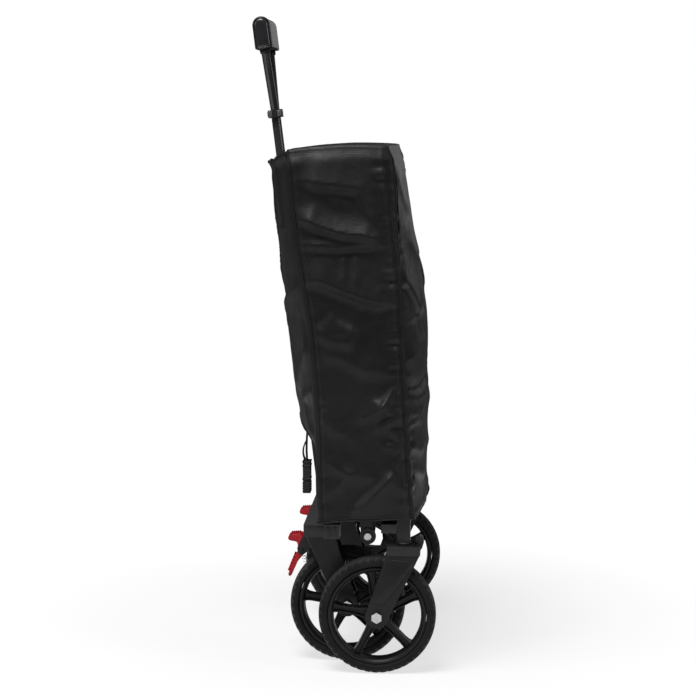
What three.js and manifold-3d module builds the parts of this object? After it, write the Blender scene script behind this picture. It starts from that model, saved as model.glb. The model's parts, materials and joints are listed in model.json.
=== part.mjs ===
// A folding stroller wagon, folded and standing on its four wheels under a storage cover.
// Millimetres, +Z up. +X is the caster end, -X the end with the brakes and the pull handle,
// and -Y the right side. The origin is on the floor below the middle of the outline.
import * as THREE from 'three';
import { mergeVertices } from 'three/addons/utils/BufferGeometryUtils.js';
import Module from 'manifold-3d';

const wasm = await Module();
wasm.setup();

// ---- Driving dimensions ----

const GAP = 0.3; // between pieces that touch
const SIDES = [['right', -1], ['left', 1]];

// Wheels and forks. FRONT is the caster end, REAR the braked end.
const WHEEL_R = 100;
const TYRE_HALF = 20;
const TYRE_INNER_R = 84;
const RIM_INNER_R = 76;
const HUB_R = 17;
const SPOKES = 5;
const SPOKE_WIDTH = 13;
const SPOKE_DEPTH = 22;
const SPOKE_START = 27; // degrees above the horizontal
const FRONT_AXLE_X = 64.5;
const FRONT_TRACK = 250;
const REAR_AXLE_X = 9.5;
const REAR_TRACK = 168;
const FORK_INSIDE = 22; // wheel plane to fork plate
const PLATE = 4;
const HUB_END_R = 20;
const BOLT_R = 5;
const BOLT_HEAD_R = 9.8;
const BOLT_HEAD = 6.5;
const STEM_X = 109.5; // caster swivel axis
const STEM_R = 8;
const CROWN_Z = [206, 222];
const CROWN_HALF = 28;

// Square posts of the two end frames
const POST_Y = 250;
const POST_HALF = 11;
const POST_WALL = 1.5;
const POST_TOP = 858;
const REAR_POST = [[-12.5, 234.3], [-22.5, 500], [-66, POST_TOP]]; // x, z of its middle line
const FRONT_POST = [[STEM_X, 222 + GAP], [STEM_X, 262], [72, POST_TOP]];
const POST_INSIDE = POST_Y - POST_HALF - GAP;
const TOP_TUBE_Z = 847;
const FLOOR_TUBE_Z = 300;
const CHANNEL = { x: [-62.5, -5.5], z: [228, 250], wall: 2 };
const AXLE_TUBE = { x: [71, 98 - GAP], z: [241, 257] };

// Folding side rails: two flat bars a side, with a knee that hangs below the cover
const RAIL_PIVOT_Z = 617;
const RAIL_PIVOT_X = { rear: -4.5, front: 99.5 };
const KNEE = { x: 47.5, z: 231 };
const RAIL_HALF = 11;
const RAIL_Y = { rear: [228, 234], front: [220, 226] };
const PIN_R = 6;

// Floor panels, folded up between the end frames
const FLOOR_HINGE_Z = 319;
const FLOOR_HINGE_X = { rear: -11.5, front: 106.5 };
const FLOOR_THICK = 12;
const FLOOR_HALF_WIDTH = 178;

// Pull handle: measured along its own leaning axis, up from the pivot
const HANDLE_PIVOT = { x: -49.2, z: 300 };
const HANDLE_LEAN = THREE.MathUtils.degToRad(7.1);
const SLEEVE = { r: 11, bore: 9.2, from: -10, to: 554 };
const STEM = { r: 8.5, bore: 7, from: 131, to: 645.7 };
const COLLAR = { half: 12.5, halfY: 17, from: 646, to: 660 };
const GRIP = { halfX: 15.5, halfY: 65.5, from: 766, to: 823 };
const ARM = { r: 7.2, low: 9, high: 50 };
const BUTTON = { r: 5.5, proud: 2, long: 5.2 };

// Brake rockers
const BRAKE_PIVOT = { x: -73.7, z: 185.6 };
const BRAKE_Y = 121;
const BRAKE_HALF = 17;

// Lock levers on the caster crowns
const LEVER_PIVOT = { x: STEM_X + 24, z: 216 };

// Strap with a side-release buckle
const STRAP_X = -75;
const STRAP_HALF = 10;
const BUCKLE_TOP = 322;

// Storage cover: across the wagon at five heights, x of the piped seams at its side faces,
// and how far the two end faces swell past them
const COVER_HALF = 268;
const COVER_WALL = 2.5;
const COVER_TOP = 893;
const COVER_LEVELS = [
  { z: 266, rear: -33, front: 127, rearSwell: 42, frontSwell: 15 },
  { z: 450, rear: -38, front: 112.5, rearSwell: 51, frontSwell: 34 },
  { z: 585, rear: -49, front: 106, rearSwell: 58, frontSwell: 38 },
  { z: 720, rear: -70, front: 99, rearSwell: 50, frontSwell: 23 },
  { z: 880, rear: -88, front: 90, rearSwell: 46, frontSwell: 4 },
];
const SLIT_HALF = 17;
const NOTCH_HALF = 70;
const SLIT_V = [690, 790];

// ---- Solids ----

function solidOf(geometry) {
  geometry.deleteAttribute('normal');
  geometry.deleteAttribute('uv');
  const merged = mergeVertices(geometry, 1e-4);
  const vertProperties = Float32Array.from(merged.attributes.position.array);
  const triVerts = Uint32Array.from(merged.index.array);
  return new wasm.Manifold(new wasm.Mesh({ numProp: 3, vertProperties, triVerts }));
}

function geometryOf(solid) {
  const mesh = solid.getMesh();
  const geometry = new THREE.BufferGeometry();
  geometry.setAttribute('position', new THREE.BufferAttribute(mesh.vertProperties, 3));
  geometry.setIndex(new THREE.BufferAttribute(mesh.triVerts, 1));
  geometry.computeVertexNormals();
  return geometry;
}

function join(first, ...rest) {
  return rest.reduce((whole, solid) => whole.add(solid), first);
}

// A pair of limits on one side of the wagon, lowest first
function span(side, a, b) {
  return side < 0 ? [-b, -a] : [a, b];
}

function box([x0, x1], [y0, y1], [z0, z1]) {
  const geometry = new THREE.BoxGeometry(x1 - x0, y1 - y0, z1 - z0);
  return solidOf(geometry.translate((x0 + x1) / 2, (y0 + y1) / 2, (z0 + z1) / 2));
}

// An outline in the XZ plane, given thickness along Y
function slab(shape, [y0, y1], curveSegments = 6) {
  const geometry = new THREE.ExtrudeGeometry(shape, {
    depth: y1 - y0, bevelEnabled: false, curveSegments,
  });
  return solidOf(geometry.rotateX(Math.PI / 2).translate(0, y1, 0));
}

function polygon(points) {
  return new THREE.Shape(points.map(([x, z]) => new THREE.Vector2(x, z)));
}

// A round bar or disc between two points
function rod(from, to, r, sides = 20) {
  const start = new THREE.Vector3(...from);
  const axis = new THREE.Vector3(...to).sub(start);
  const geometry = new THREE.CylinderGeometry(r, r, axis.length(), sides);
  const up = new THREE.Vector3(0, 1, 0);
  const turn = new THREE.Quaternion().setFromUnitVectors(up, axis.clone().normalize());
  geometry.applyQuaternion(turn);
  const middle = start.add(axis.multiplyScalar(0.5));
  return solidOf(geometry.translate(middle.x, middle.y, middle.z));
}

// A disc or pin lying along Y
function pin(x, z, [y0, y1], r, sides = 20) {
  return rod([x, y0, z], [x, y1, z], r, sides);
}

// A profile of [radius, y] turned about the Y axis
function revolve(profile, sides) {
  const points = profile.map(([r, y]) => new THREE.Vector2(r, y));
  return solidOf(new THREE.LatheGeometry(points, sides));
}

// Rings of points, one above another, skinned and capped. Each ring runs anticlockwise
// seen from above, and its middle sees all of it.
function loft(rings) {
  const count = rings[0].length;
  const positions = rings.flat(2);
  const faces = [];
  for (let level = 0; level + 1 < rings.length; level += 1) {
    for (let i = 0; i < count; i += 1) {
      const a = level * count + i;
      const b = level * count + ((i + 1) % count);
      faces.push(a, b, b + count, a, b + count, a + count);
    }
  }
  const top = (rings.length - 1) * count;
  for (const [base, up] of [[0, false], [top, true]]) {
    const ring = rings[base / count];
    const middle = positions.length / 3;
    for (let axis = 0; axis < 3; axis += 1) {
      positions.push(ring.reduce((sum, point) => sum + point[axis], 0) / count);
    }
    for (let i = 0; i < count; i += 1) {
      const a = base + i;
      const b = base + ((i + 1) % count);
      faces.push(...(up ? [middle, a, b] : [middle, b, a]));
    }
  }
  const geometry = new THREE.BufferGeometry();
  geometry.setAttribute('position', new THREE.Float32BufferAttribute(positions, 3));
  geometry.setIndex(faces);
  return solidOf(geometry);
}

// x of a line of [x, z] points at height z
function along(line, z) {
  const next = Math.max(1, line.findIndex((point) => point[1] >= z));
  const [[x0, z0], [x1, z1]] = [line[next - 1], line[next]];
  return x0 + ((x1 - x0) * (z - z0)) / (z1 - z0);
}

// ---- Materials ----

function finish(color, roughness, metalness = 0) {
  return { color, roughness, metalness };
}
const PAINT = finish(0x141416, 0.45, 0.3);
const PLASTIC = finish(0x1a1a1c, 0.55);
const GLOSS = finish(0x101012, 0.25);
const RUBBER = finish(0x0e0e0f, 0.85);
const STEEL = finish(0xb8babd, 0.3, 1);
const RED = finish(0xa3121c, 0.45);
const NYLON = finish(0x0d0d0f, 0.6);
const WEBBING = finish(0x101010, 0.8);

const wagon = new THREE.Group();

function place(name, solid, look, parent = wagon) {
  const mesh = new THREE.Mesh(geometryOf(solid), new THREE.MeshStandardMaterial(look));
  mesh.name = name;
  parent.add(mesh);
}

function groupAt(x, y, z, lean = 0) {
  const group = new THREE.Group();
  group.position.set(x, y, z);
  group.rotation.y = -lean;
  wagon.add(group);
  return group;
}

// ---- End frames ----

// A square tube whose middle line is bent in the XZ plane
function post(line, y) {
  const square = (half) => loft(line.map(([x, z], i) => {
    const last = line.length - 1;
    const longer = half < POST_HALF ? { 0: -1, [last]: 1 }[i] ?? 0 : 0;
    return [[-1, -1], [1, -1], [1, 1], [-1, 1]].map(
      ([u, v]) => [x + u * half, y + v * half, z + longer],
    );
  }));
  return square(POST_HALF).subtract(square(POST_HALF - POST_WALL));
}

// A square tube across the wagon, between two posts
function crossTube(x, z) {
  const tube = (half, reach) => box([x - half, x + half], [-reach, reach], [z - half, z + half]);
  return tube(POST_HALF, POST_INSIDE).subtract(tube(POST_HALF - POST_WALL, POST_Y));
}

// The floor tube carries the lugs and pins that a floor panel hinges on
function floorTube(line, hingeX) {
  const lugs = SIDES.map(([, side]) => {
    const lug = slab(polygon([
      [hingeX - 6, FLOOR_TUBE_Z + POST_HALF - 1], [hingeX + 6, FLOOR_TUBE_Z + POST_HALF - 1],
      [hingeX + 6, FLOOR_HINGE_Z + 4], [hingeX + 3, FLOOR_HINGE_Z + 6],
      [hingeX - 3, FLOOR_HINGE_Z + 6], [hingeX - 6, FLOOR_HINGE_Z + 4],
    ]), span(side, FLOOR_HALF_WIDTH + 1.5, FLOOR_HALF_WIDTH + 4.5));
    return lug.add(pin(hingeX, FLOOR_HINGE_Z, span(side, 166, FLOOR_HALF_WIDTH + 3), 3.5, 12));
  });
  return join(crossTube(along(line, FLOOR_TUBE_Z), FLOOR_TUBE_Z), ...lugs);
}

// Two lugs behind the rear floor tube, with the pin that the handle swings on
function handleBracket() {
  const { x, z } = HANDLE_PIVOT;
  const tubeBack = along(REAR_POST, FLOOR_TUBE_Z) - POST_HALF;
  const shape = polygon([
    [tubeBack + 1, z - 9], [tubeBack + 1, z + 9], [x, z + 9], [x - 7, z + 6],
    [x - 9, z], [x - 7, z - 6], [x, z - 9],
  ]);
  const lugs = SIDES.map(([, side]) => slab(shape, span(side, 12.5, 15.5)));
  return join(pin(x, z, [-14, 14], 4, 16), ...lugs);
}

// A flat plate that hangs from a level top edge and closes round a hub
function hangingPlate(topX, topZ, hub, endR, ys) {
  const shape = new THREE.Shape();
  shape.moveTo(topX[1], topZ);
  shape.lineTo(topX[0], topZ);
  for (let step = 0; step <= 8; step += 1) {
    const angle = Math.PI * (1 + step / 8) - 0.12;
    shape.lineTo(hub.x + endR * Math.cos(angle), hub.z + endR * Math.sin(angle));
  }
  return slab(shape, ys).subtract(pin(hub.x, hub.z, [ys[0] - 1, ys[1] + 1], BOLT_R + GAP));
}

function rearFork(side) {
  const hub = { x: REAR_AXLE_X, z: WHEEL_R };
  const top = CHANNEL.z[0] - GAP;
  const topX = [-64, -13];
  const [inner, outer] = [REAR_TRACK - FORK_INSIDE, REAR_TRACK + FORK_INSIDE];
  return join(
    box(topX, span(side, inner - PLATE, outer + PLATE), [top - PLATE, top]),
    hangingPlate(topX, top, hub, HUB_END_R, span(side, outer, outer + PLATE)),
    hangingPlate(topX, top, hub, HUB_END_R, span(side, inner - PLATE, inner)),
  );
}

// The channel under the rear frame carries the forks and the brake rockers' lugs
function rearChannel() {
  const reach = POST_Y - 13.5 - GAP;
  const { x, z, wall } = CHANNEL;
  const inside = box([x[0] + wall, x[1] - wall], [-POST_Y, POST_Y], [z[0] + wall, z[1] - wall]);
  const tube = box(x, [-reach, reach], z).subtract(inside);
  const lugs = [];
  for (const [, side] of SIDES) {
    for (const y of [BRAKE_Y - BRAKE_HALF - 3.5, BRAKE_Y + BRAKE_HALF + 0.5]) {
      const shape = polygon([
        [-40, z[0] + 1], [x[0], z[0] + 1], [BRAKE_PIVOT.x - 8, BRAKE_PIVOT.z + 3],
        [BRAKE_PIVOT.x - 6, BRAKE_PIVOT.z - 6], [BRAKE_PIVOT.x + 2, BRAKE_PIVOT.z - 9],
        [BRAKE_PIVOT.x + 9, BRAKE_PIVOT.z - 4],
      ]);
      lugs.push(slab(shape, span(side, y, y + 3)));
    }
    const reachY = span(side, BRAKE_Y - BRAKE_HALF - 2, BRAKE_Y + BRAKE_HALF + 5);
    lugs.push(pin(BRAKE_PIVOT.x, BRAKE_PIVOT.z, reachY, 3.5, 14));
  }
  return join(tube, ...lugs);
}

// A plastic foot on the lower end of a rear post
function postFoot(side) {
  const [[x, z]] = REAR_POST;
  const outer = box([x - 13.5, x + 13.5], span(side, POST_Y - 13.5, POST_Y + 13.5), [231, 257]);
  const socket = POST_HALF + 1.3;
  const ys = span(side, POST_Y - socket, POST_Y + socket);
  return outer.subtract(box([x - socket, x + socket], ys, [z - GAP, 260]));
}

// The plate and shouldered pin that a side rail pivots on
function railBracket(end, line, side) {
  const x = RAIL_PIVOT_X[end];
  const middle = along(line, RAIL_PIVOT_Z);
  const [inner, outer] = RAIL_Y[end];
  const plate = box(
    [Math.min(middle - 6, x - 2), Math.max(middle + 6, x + 2)],
    span(side, POST_INSIDE - 3, POST_INSIDE), [RAIL_PIVOT_Z - 10, RAIL_PIVOT_Z + 10],
  );
  return join(
    plate,
    pin(x, RAIL_PIVOT_Z, span(side, POST_INSIDE - 3, POST_INSIDE), 10),
    pin(x, RAIL_PIVOT_Z, span(side, outer + GAP, POST_INSIDE - 1), 8.5),
    pin(x, RAIL_PIVOT_Z, span(side, inner - 1, outer + 1), PIN_R),
    pin(x, RAIL_PIVOT_Z, span(side, inner - 3, inner - GAP), 8.5),
  );
}

// A soft end wall, held on the outside of the cross tubes
function endPanel(line, outward) {
  const heights = [316, ...line.map(([, z]) => z).filter((z) => z > 316 && z < 830), 836];
  const offset = (POST_HALF + 2) * outward;
  return loft(heights.map((z) => {
    const x = along(line, z) + offset;
    const [near, far] = [x - 1.25 + outward * 1.25, x + 1.25 + outward * 1.25];
    return [[near, -213, z], [far, -213, z], [far, 213, z], [near, 213, z]];
  }));
}

function endFrames() {
  place('rear_top_tube', crossTube(along(REAR_POST, TOP_TUBE_Z), TOP_TUBE_Z), PAINT);
  const rearFloor = floorTube(REAR_POST, FLOOR_HINGE_X.rear).add(handleBracket());
  place('rear_floor_tube', rearFloor, PAINT);
  place('rear_axle_channel', rearChannel(), PAINT);
  place('rear_end_panel', endPanel(REAR_POST, -1), NYLON);
  place('front_top_tube', crossTube(along(FRONT_POST, TOP_TUBE_Z), TOP_TUBE_Z), PAINT);
  place('front_floor_tube', floorTube(FRONT_POST, FLOOR_HINGE_X.front), PAINT);
  const reach = POST_Y + POST_HALF;
  place('front_axle_tube', box(AXLE_TUBE.x, [-reach, reach], AXLE_TUBE.z), PAINT);
  place('front_end_panel', endPanel(FRONT_POST, 1), NYLON);
  for (const [name, side] of SIDES) {
    place(`rear_post_${name}`, post(REAR_POST, side * POST_Y), PAINT);
    place(`front_post_${name}`, post(FRONT_POST, side * POST_Y), PAINT);
    place(`rear_post_foot_${name}`, postFoot(side), PLASTIC);
    place(`rear_fork_${name}`, rearFork(side), PAINT);
    place(`rear_rail_bracket_${name}`, railBracket('rear', REAR_POST, side), PAINT);
    place(`front_rail_bracket_${name}`, railBracket('front', FRONT_POST, side), PAINT);
  }
}

// ---- Side rails, floor and side walls ----

function railBar(end, side) {
  const pivot = [RAIL_PIVOT_X[end], RAIL_PIVOT_Z];
  const knee = [KNEE.x, KNEE.z];
  const way = Math.atan2(knee[1] - pivot[1], knee[0] - pivot[0]);
  const shape = new THREE.Shape();
  shape.absarc(...knee, RAIL_HALF, way - Math.PI / 2, way + Math.PI / 2, false);
  shape.absarc(...pivot, RAIL_HALF, way + Math.PI / 2, way + (Math.PI * 3) / 2, false);
  const ys = span(side, ...RAIL_Y[end]);
  const through = [ys[0] - 1, ys[1] + 1];
  let bar = slab(shape, ys);
  bar = bar.subtract(pin(...pivot, through, PIN_R + 0.35));
  if (end === 'rear') {
    bar = bar.add(pin(...knee, span(side, RAIL_Y.rear[1] - 1, RAIL_Y.rear[1] + 3), 14, 28));
  }
  return bar.subtract(pin(...knee, span(side, 200, 245), 4.5));
}

function kneeBolt(side) {
  return join(
    pin(KNEE.x, KNEE.z, span(side, 216, 240), 4),
    pin(KNEE.x, KNEE.z, span(side, RAIL_Y.rear[1] + 3 + GAP, 241), 6.5),
    pin(KNEE.x, KNEE.z, span(side, 215, RAIL_Y.front[0] - GAP), 7, 6),
  );
}

// A floor panel stands on its hinge and leans towards the middle by the rails' own angle
function floorPanel(end) {
  const x = FLOOR_HINGE_X[end];
  const rise = RAIL_PIVOT_Z - KNEE.z;
  const run = KNEE.x - RAIL_PIVOT_X[end];
  const length = Math.hypot(rise, run);
  const way = Math.atan2(rise, run);
  const half = FLOOR_THICK / 2;
  const shape = new THREE.Shape();
  shape.absarc(x, FLOOR_HINGE_Z, half, way + Math.PI / 2, way + (Math.PI * 3) / 2, false);
  const tip = [x + length * Math.cos(way), FLOOR_HINGE_Z + length * Math.sin(way)];
  const [u, v] = [half * Math.sin(way), -half * Math.cos(way)];
  shape.lineTo(tip[0] + u, tip[1] + v);
  shape.lineTo(tip[0] - u, tip[1] - v);
  let panel = slab(shape, [-FLOOR_HALF_WIDTH, FLOOR_HALF_WIDTH]);
  for (const [, side] of SIDES) {
    panel = panel.subtract(pin(x, FLOOR_HINGE_Z, span(side, 164, 180), 4, 12));
  }
  return panel;
}

// The soft side wall, gathered between the two end frames
function sideFabric(side) {
  const ys = span(side, 190, 211);
  const inset = POST_HALF + 6;
  return loft([330, 500, 828].map((z) => {
    const [rear, front] = [along(REAR_POST, z) + inset, along(FRONT_POST, z) - inset];
    return [[rear, ys[0], z], [front, ys[0], z], [front, ys[1], z], [rear, ys[1], z]];
  }));
}

function foldingSides() {
  place('floor_panel_rear', floorPanel('rear'), PLASTIC);
  place('floor_panel_front', floorPanel('front'), PLASTIC);
  for (const [name, side] of SIDES) {
    place(`rail_rear_${name}`, railBar('rear', side), PAINT);
    place(`rail_front_${name}`, railBar('front', side), PAINT);
    place(`knee_bolt_${name}`, kneeBolt(side), STEEL);
    place(`side_fabric_${name}`, sideFabric(side), NYLON);
  }
}

// ---- Wheels and casters ----

function tyre() {
  const shoulder = TYRE_HALF - 2;
  return revolve([
    [TYRE_INNER_R, -17], [TYRE_INNER_R + 4, -TYRE_HALF], [WHEEL_R - 6, -TYRE_HALF],
    [WHEEL_R - 1.5, -shoulder + 3], [WHEEL_R, -8], [WHEEL_R, 8], [WHEEL_R - 1.5, shoulder - 3],
    [WHEEL_R - 6, TYRE_HALF], [TYRE_INNER_R + 4, TYRE_HALF], [TYRE_INNER_R, 17],
    [TYRE_INNER_R, -17],
  ], 44);
}

function rim() {
  const outer = TYRE_INNER_R - GAP;
  const ring = revolve([
    [RIM_INNER_R, -14], [RIM_INNER_R + 2, -17], [outer, -17],
    [outer, 17], [RIM_INNER_R + 2, 17], [RIM_INNER_R, 14], [RIM_INNER_R, -14],
  ], 40);
  const hub = pin(0, 0, [-21, 21], HUB_R, 28);
  const spokes = [];
  for (let i = 0; i < SPOKES; i += 1) {
    const spoke = box(
      [HUB_R - 4, RIM_INNER_R + 1.5], [-SPOKE_DEPTH / 2, SPOKE_DEPTH / 2],
      [-SPOKE_WIDTH / 2, SPOKE_WIDTH / 2],
    );
    spokes.push(spoke.rotate([0, -SPOKE_START - (i * 360) / SPOKES, 0]));
  }
  return join(ring, hub, ...spokes).subtract(pin(0, 0, [-22, 22], BOLT_R + 0.6));
}

function axleBolt(side) {
  const plate = FORK_INSIDE + PLATE + GAP;
  return join(
    pin(0, 0, [-plate - 2, plate + 2], BOLT_R),
    pin(0, 0, span(side, plate, plate + BOLT_HEAD), BOLT_HEAD_R, 6),
    pin(0, 0, span(-side, plate, plate + BOLT_HEAD), BOLT_HEAD_R, 6),
  );
}

// The caster fork, seen from its swivel axis at floor height
function casterFork() {
  const hub = { x: FRONT_AXLE_X - STEM_X, z: WHEEL_R };
  const topX = [-CROWN_HALF, CROWN_HALF];
  const reach = FORK_INSIDE + PLATE;
  return join(
    box(topX, [-CROWN_HALF, CROWN_HALF], CROWN_Z),
    hangingPlate(topX, CROWN_Z[0] + 2, hub, HUB_END_R, [FORK_INSIDE, reach]),
    hangingPlate(topX, CROWN_Z[0] + 2, hub, HUB_END_R, [-reach, -FORK_INSIDE]),
    rod([0, 0, CROWN_Z[1] - 1], [0, 0, CROWN_Z[1] + 38], STEM_R),
  ).subtract(box([18.5, 40], [-9.5, 9.5], [209, 230]));
}

// A hooked paddle that stands up beside the post and tips outward to free the swivel
function lockLever() {
  const x = LEVER_PIVOT.x - STEM_X;
  const { z } = LEVER_PIVOT;
  const shape = polygon([
    [x - 3, z - 4], [x + 4, z - 4], [x + 7, z], [x + 10, z + 10], [x + 8, z + 19],
    [x + 3, z + 22], [x - 3, z + 20], [x - 4.5, z + 13], [x - 2, z + 9], [x - 3.5, z + 4],
  ]);
  return slab(shape, [-9, 9]);
}

function wheels() {
  for (const [name, side] of SIDES) {
    for (const [end, x, track] of [
      ['front', FRONT_AXLE_X, FRONT_TRACK], ['rear', REAR_AXLE_X, REAR_TRACK],
    ]) {
      const hub = groupAt(x, side * track, WHEEL_R);
      place(`tyre_${end}_${name}`, tyre(), RUBBER, hub);
      place(`rim_${end}_${name}`, rim(), GLOSS, hub);
      place(`axle_bolt_${end}_${name}`, axleBolt(side), STEEL, hub);
    }
    const stem = groupAt(STEM_X, side * FRONT_TRACK, 0);
    place(`caster_fork_${name}`, casterFork(), GLOSS, stem);
    place(`lock_lever_${name}`, lockLever(), PLASTIC, stem);
  }
}

// ---- Pull handle ----

function tube(r, bore, from, to, sides = 24) {
  const outer = rod([0, 0, from], [0, 0, to], r, sides);
  return outer.subtract(rod([0, 0, from - 1], [0, 0, to + 1], bore, sides));
}

function collar() {
  const { half, halfY, from, to } = COLLAR;
  const corner = 5;
  const shape = polygon([
    [-half, -halfY + corner], [-half + corner, -halfY], [half - corner, -halfY],
    [half, -halfY + corner], [half, halfY - corner], [half - corner, halfY],
    [-half + corner, halfY], [-half, halfY - corner],
  ]);
  const geometry = new THREE.ExtrudeGeometry(shape, { depth: to - from, bevelEnabled: false });
  const body = solidOf(geometry.translate(0, 0, from));
  const middle = (from + to) / 2;
  const recess = rod([-half - 1, 0, middle], [-half + 7, 0, middle], BUTTON.r + GAP);
  return body.subtract(recess);
}

function handleButton() {
  const middle = (COLLAR.from + COLLAR.to) / 2;
  const face = -COLLAR.half - BUTTON.proud;
  return rod([face, 0, middle], [face + BUTTON.long, 0, middle], BUTTON.r);
}

function arm(side) {
  const low = COLLAR.to + GAP;
  const high = GRIP.from - GAP;
  const slope = (ARM.high - ARM.low) / (high - low);
  const bar = rod(
    [0, side * (ARM.low - 8 * slope), low - 8], [0, side * (ARM.high + 8 * slope), high + 8], ARM.r,
  );
  return bar.intersect(box([-20, 20], [-70, 70], [low, high]));
}

function grip() {
  const { halfX, halfY, from, to } = GRIP;
  const shape = new THREE.Shape();
  shape.moveTo(halfX - 3, from);
  shape.lineTo(halfX, from + 5);
  shape.absarc(0, to - halfX, halfX, 0, Math.PI, false);
  shape.lineTo(-halfX, from + 5);
  shape.lineTo(-halfX + 3, from);
  return slab(shape, [-halfY, halfY], 12);
}

function pullHandle() {
  const axis = groupAt(HANDLE_PIVOT.x, 0, HANDLE_PIVOT.z, HANDLE_LEAN);
  const { r, bore, from, to } = SLEEVE;
  const sleeve = tube(r, bore, from, to).subtract(pin(0, 0, [-14, 14], 4.5));
  place('handle_sleeve', sleeve, PAINT, axis);
  place('handle_stem', tube(STEM.r, STEM.bore, STEM.from, STEM.to), PAINT, axis);
  place('handle_collar', collar(), PLASTIC, axis);
  place('handle_button', handleButton(), GLOSS, axis);
  place('handle_grip', grip(), GLOSS, axis);
  for (const [name, side] of SIDES) {
    place(`handle_arm_${name}`, arm(side), PAINT, axis);
  }
}

// ---- Brake rockers ----

// An upper and a lower pad either side of the pivot
function brakePedal() {
  const { x, z } = BRAKE_PIVOT;
  const shape = polygon([
    [x + 8, z - 3], [x + 7, z + 7], [x, z + 15], [x, z + 26], [x - 3, z + 28],
    [x - 21, z + 25], [x - 23, z + 17], [x - 12, z + 11], [x - 11, z],
    [x - 17, z - 20], [x - 25, z - 42], [x - 22, z - 48], [x - 17, z - 45], [x - 5, z - 12],
  ]);
  const body = slab(shape, [-BRAKE_HALF, BRAKE_HALF]);
  return body.subtract(pin(x, z, [-BRAKE_HALF - 1, BRAKE_HALF + 1], 4));
}

function brakes() {
  for (const [name, side] of SIDES) {
    const row = groupAt(0, side * BRAKE_Y, 0);
    place(`brake_pedal_${name}`, brakePedal(), RED, row);
  }
}

// ---- Strap and buckle ----

// A webbing loop round the handle's sleeve, hanging down with its buckle
function strap() {
  const onAxis = (w) => [
    HANDLE_PIVOT.x - w * Math.sin(HANDLE_LEAN), 0, HANDLE_PIVOT.z + w * Math.cos(HANDLE_LEAN),
  ];
  const x = STRAP_X;
  const tail = slab(polygon([
    [x - 1, BUCKLE_TOP + GAP], [x + 1, BUCKLE_TOP + GAP], [x + 1, 378], [x + 4, 388],
    [x + 4, 397], [x + 1.5, 397], [x - 1, 380],
  ]), [-STRAP_HALF, STRAP_HALF]);
  const loop = rod(onAxis(82), onAxis(102), SLEEVE.r + 2.2, 24);
  return loop.add(tail).subtract(rod(onAxis(60), onAxis(120), SLEEVE.r + 0.4, 24));
}

function strapAndBuckle() {
  const half = STRAP_HALF + 3;
  const x = STRAP_X;
  place('strap', strap(), WEBBING);
  const socket = box([x - 7, x + 7], [-half, half], [BUCKLE_TOP - 36, BUCKLE_TOP]);
  const mouth = [BUCKLE_TOP - 37, BUCKLE_TOP - 8];
  const hollow = box([x - 5, x + 5], [-STRAP_HALF, STRAP_HALF], mouth);
  place('buckle_socket', socket.subtract(hollow), PLASTIC);
  const tongueY = [-STRAP_HALF + 1.5, STRAP_HALF - 1.5];
  const tongue = box([x - 4, x + 4], tongueY, [BUCKLE_TOP - 49, BUCKLE_TOP - 11]);
  const base = box([x - 7, x + 7], [-half, half], [BUCKLE_TOP - 59, BUCKLE_TOP - 37]);
  place('buckle_plug', tongue.add(base), PLASTIC);
}

// ---- Storage cover ----

function coverAt(z) {
  const next = Math.max(1, COVER_LEVELS.findIndex((level) => level.z >= z));
  const [low, high] = [COVER_LEVELS[next - 1], COVER_LEVELS[next]];
  const share = (z - low.z) / (high.z - low.z);
  const mix = (key) => low[key] + (high[key] - low[key]) * share;
  return {
    rear: mix('rear'), front: mix('front'),
    rearSwell: mix('rearSwell'), frontSwell: mix('frontSwell'),
  };
}

// One level of the cover: two flat sides and two swollen ends
function coverRing(z, inset) {
  const { rear, front, rearSwell, frontSwell } = coverAt(Math.min(z, 880));
  const half = COVER_HALF - inset;
  const steps = 10;
  const ring = [];
  for (let i = 0; i <= steps; i += 1) {
    const u = -1 + (2 * i) / steps;
    ring.push([front - inset + frontSwell * (1 - Math.abs(u) ** 3), u * half, z]);
  }
  for (let i = 0; i <= steps; i += 1) {
    const u = 1 - (2 * i) / steps;
    ring.push([rear + inset - rearSwell * (1 - Math.abs(u) ** 3), u * half, z]);
  }
  return ring;
}

function cover() {
  const heights = [...COVER_LEVELS.map((level) => level.z), 790];
  heights.sort((a, b) => a - b);
  const crown = (inset, top) => coverRing(880, inset + 14).map(([x, y]) => [x, y, top]);
  const outer = loft([...heights.map((z) => coverRing(z, 0)), crown(0, COVER_TOP)]);
  const inner = loft([
    ...[COVER_LEVELS[0].z - 5, ...heights.slice(1, -1)].map((z) => coverRing(z, COVER_WALL)),
    coverRing(877, COVER_WALL), crown(2, COVER_TOP - COVER_WALL),
  ]);
  // The handle comes out through a slit down the rear face, which opens in a V at the top
  const slit = box([-180, -30], [-SLIT_HALF, SLIT_HALF], [COVER_LEVELS[0].z - 5, SLIT_V[0] + 1]);
  const opening = loft([[SLIT_V[0], SLIT_HALF], [SLIT_V[1], NOTCH_HALF], [COVER_TOP + 5, NOTCH_HALF]]
    .map(([z, half]) => [[-180, -half, z], [-96, -half, z], [-96, half, z], [-180, half, z]]));
  return outer.subtract(inner).subtract(slit).subtract(opening);
}

endFrames();
foldingSides();
wheels();
pullHandle();
brakes();
strapAndBuckle();
place('cover', cover(), NYLON);

export default wagon;
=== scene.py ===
"""A folded stroller wagon standing under its storage cover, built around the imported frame.
Sizes are in millimetres, in the frame's own axes: -X is the handle and brake end, +X the casters,
and -Y the right side, nearest the camera."""
import json
import math

import bmesh
import bpy
import numpy as np
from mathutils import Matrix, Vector, noise


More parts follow.
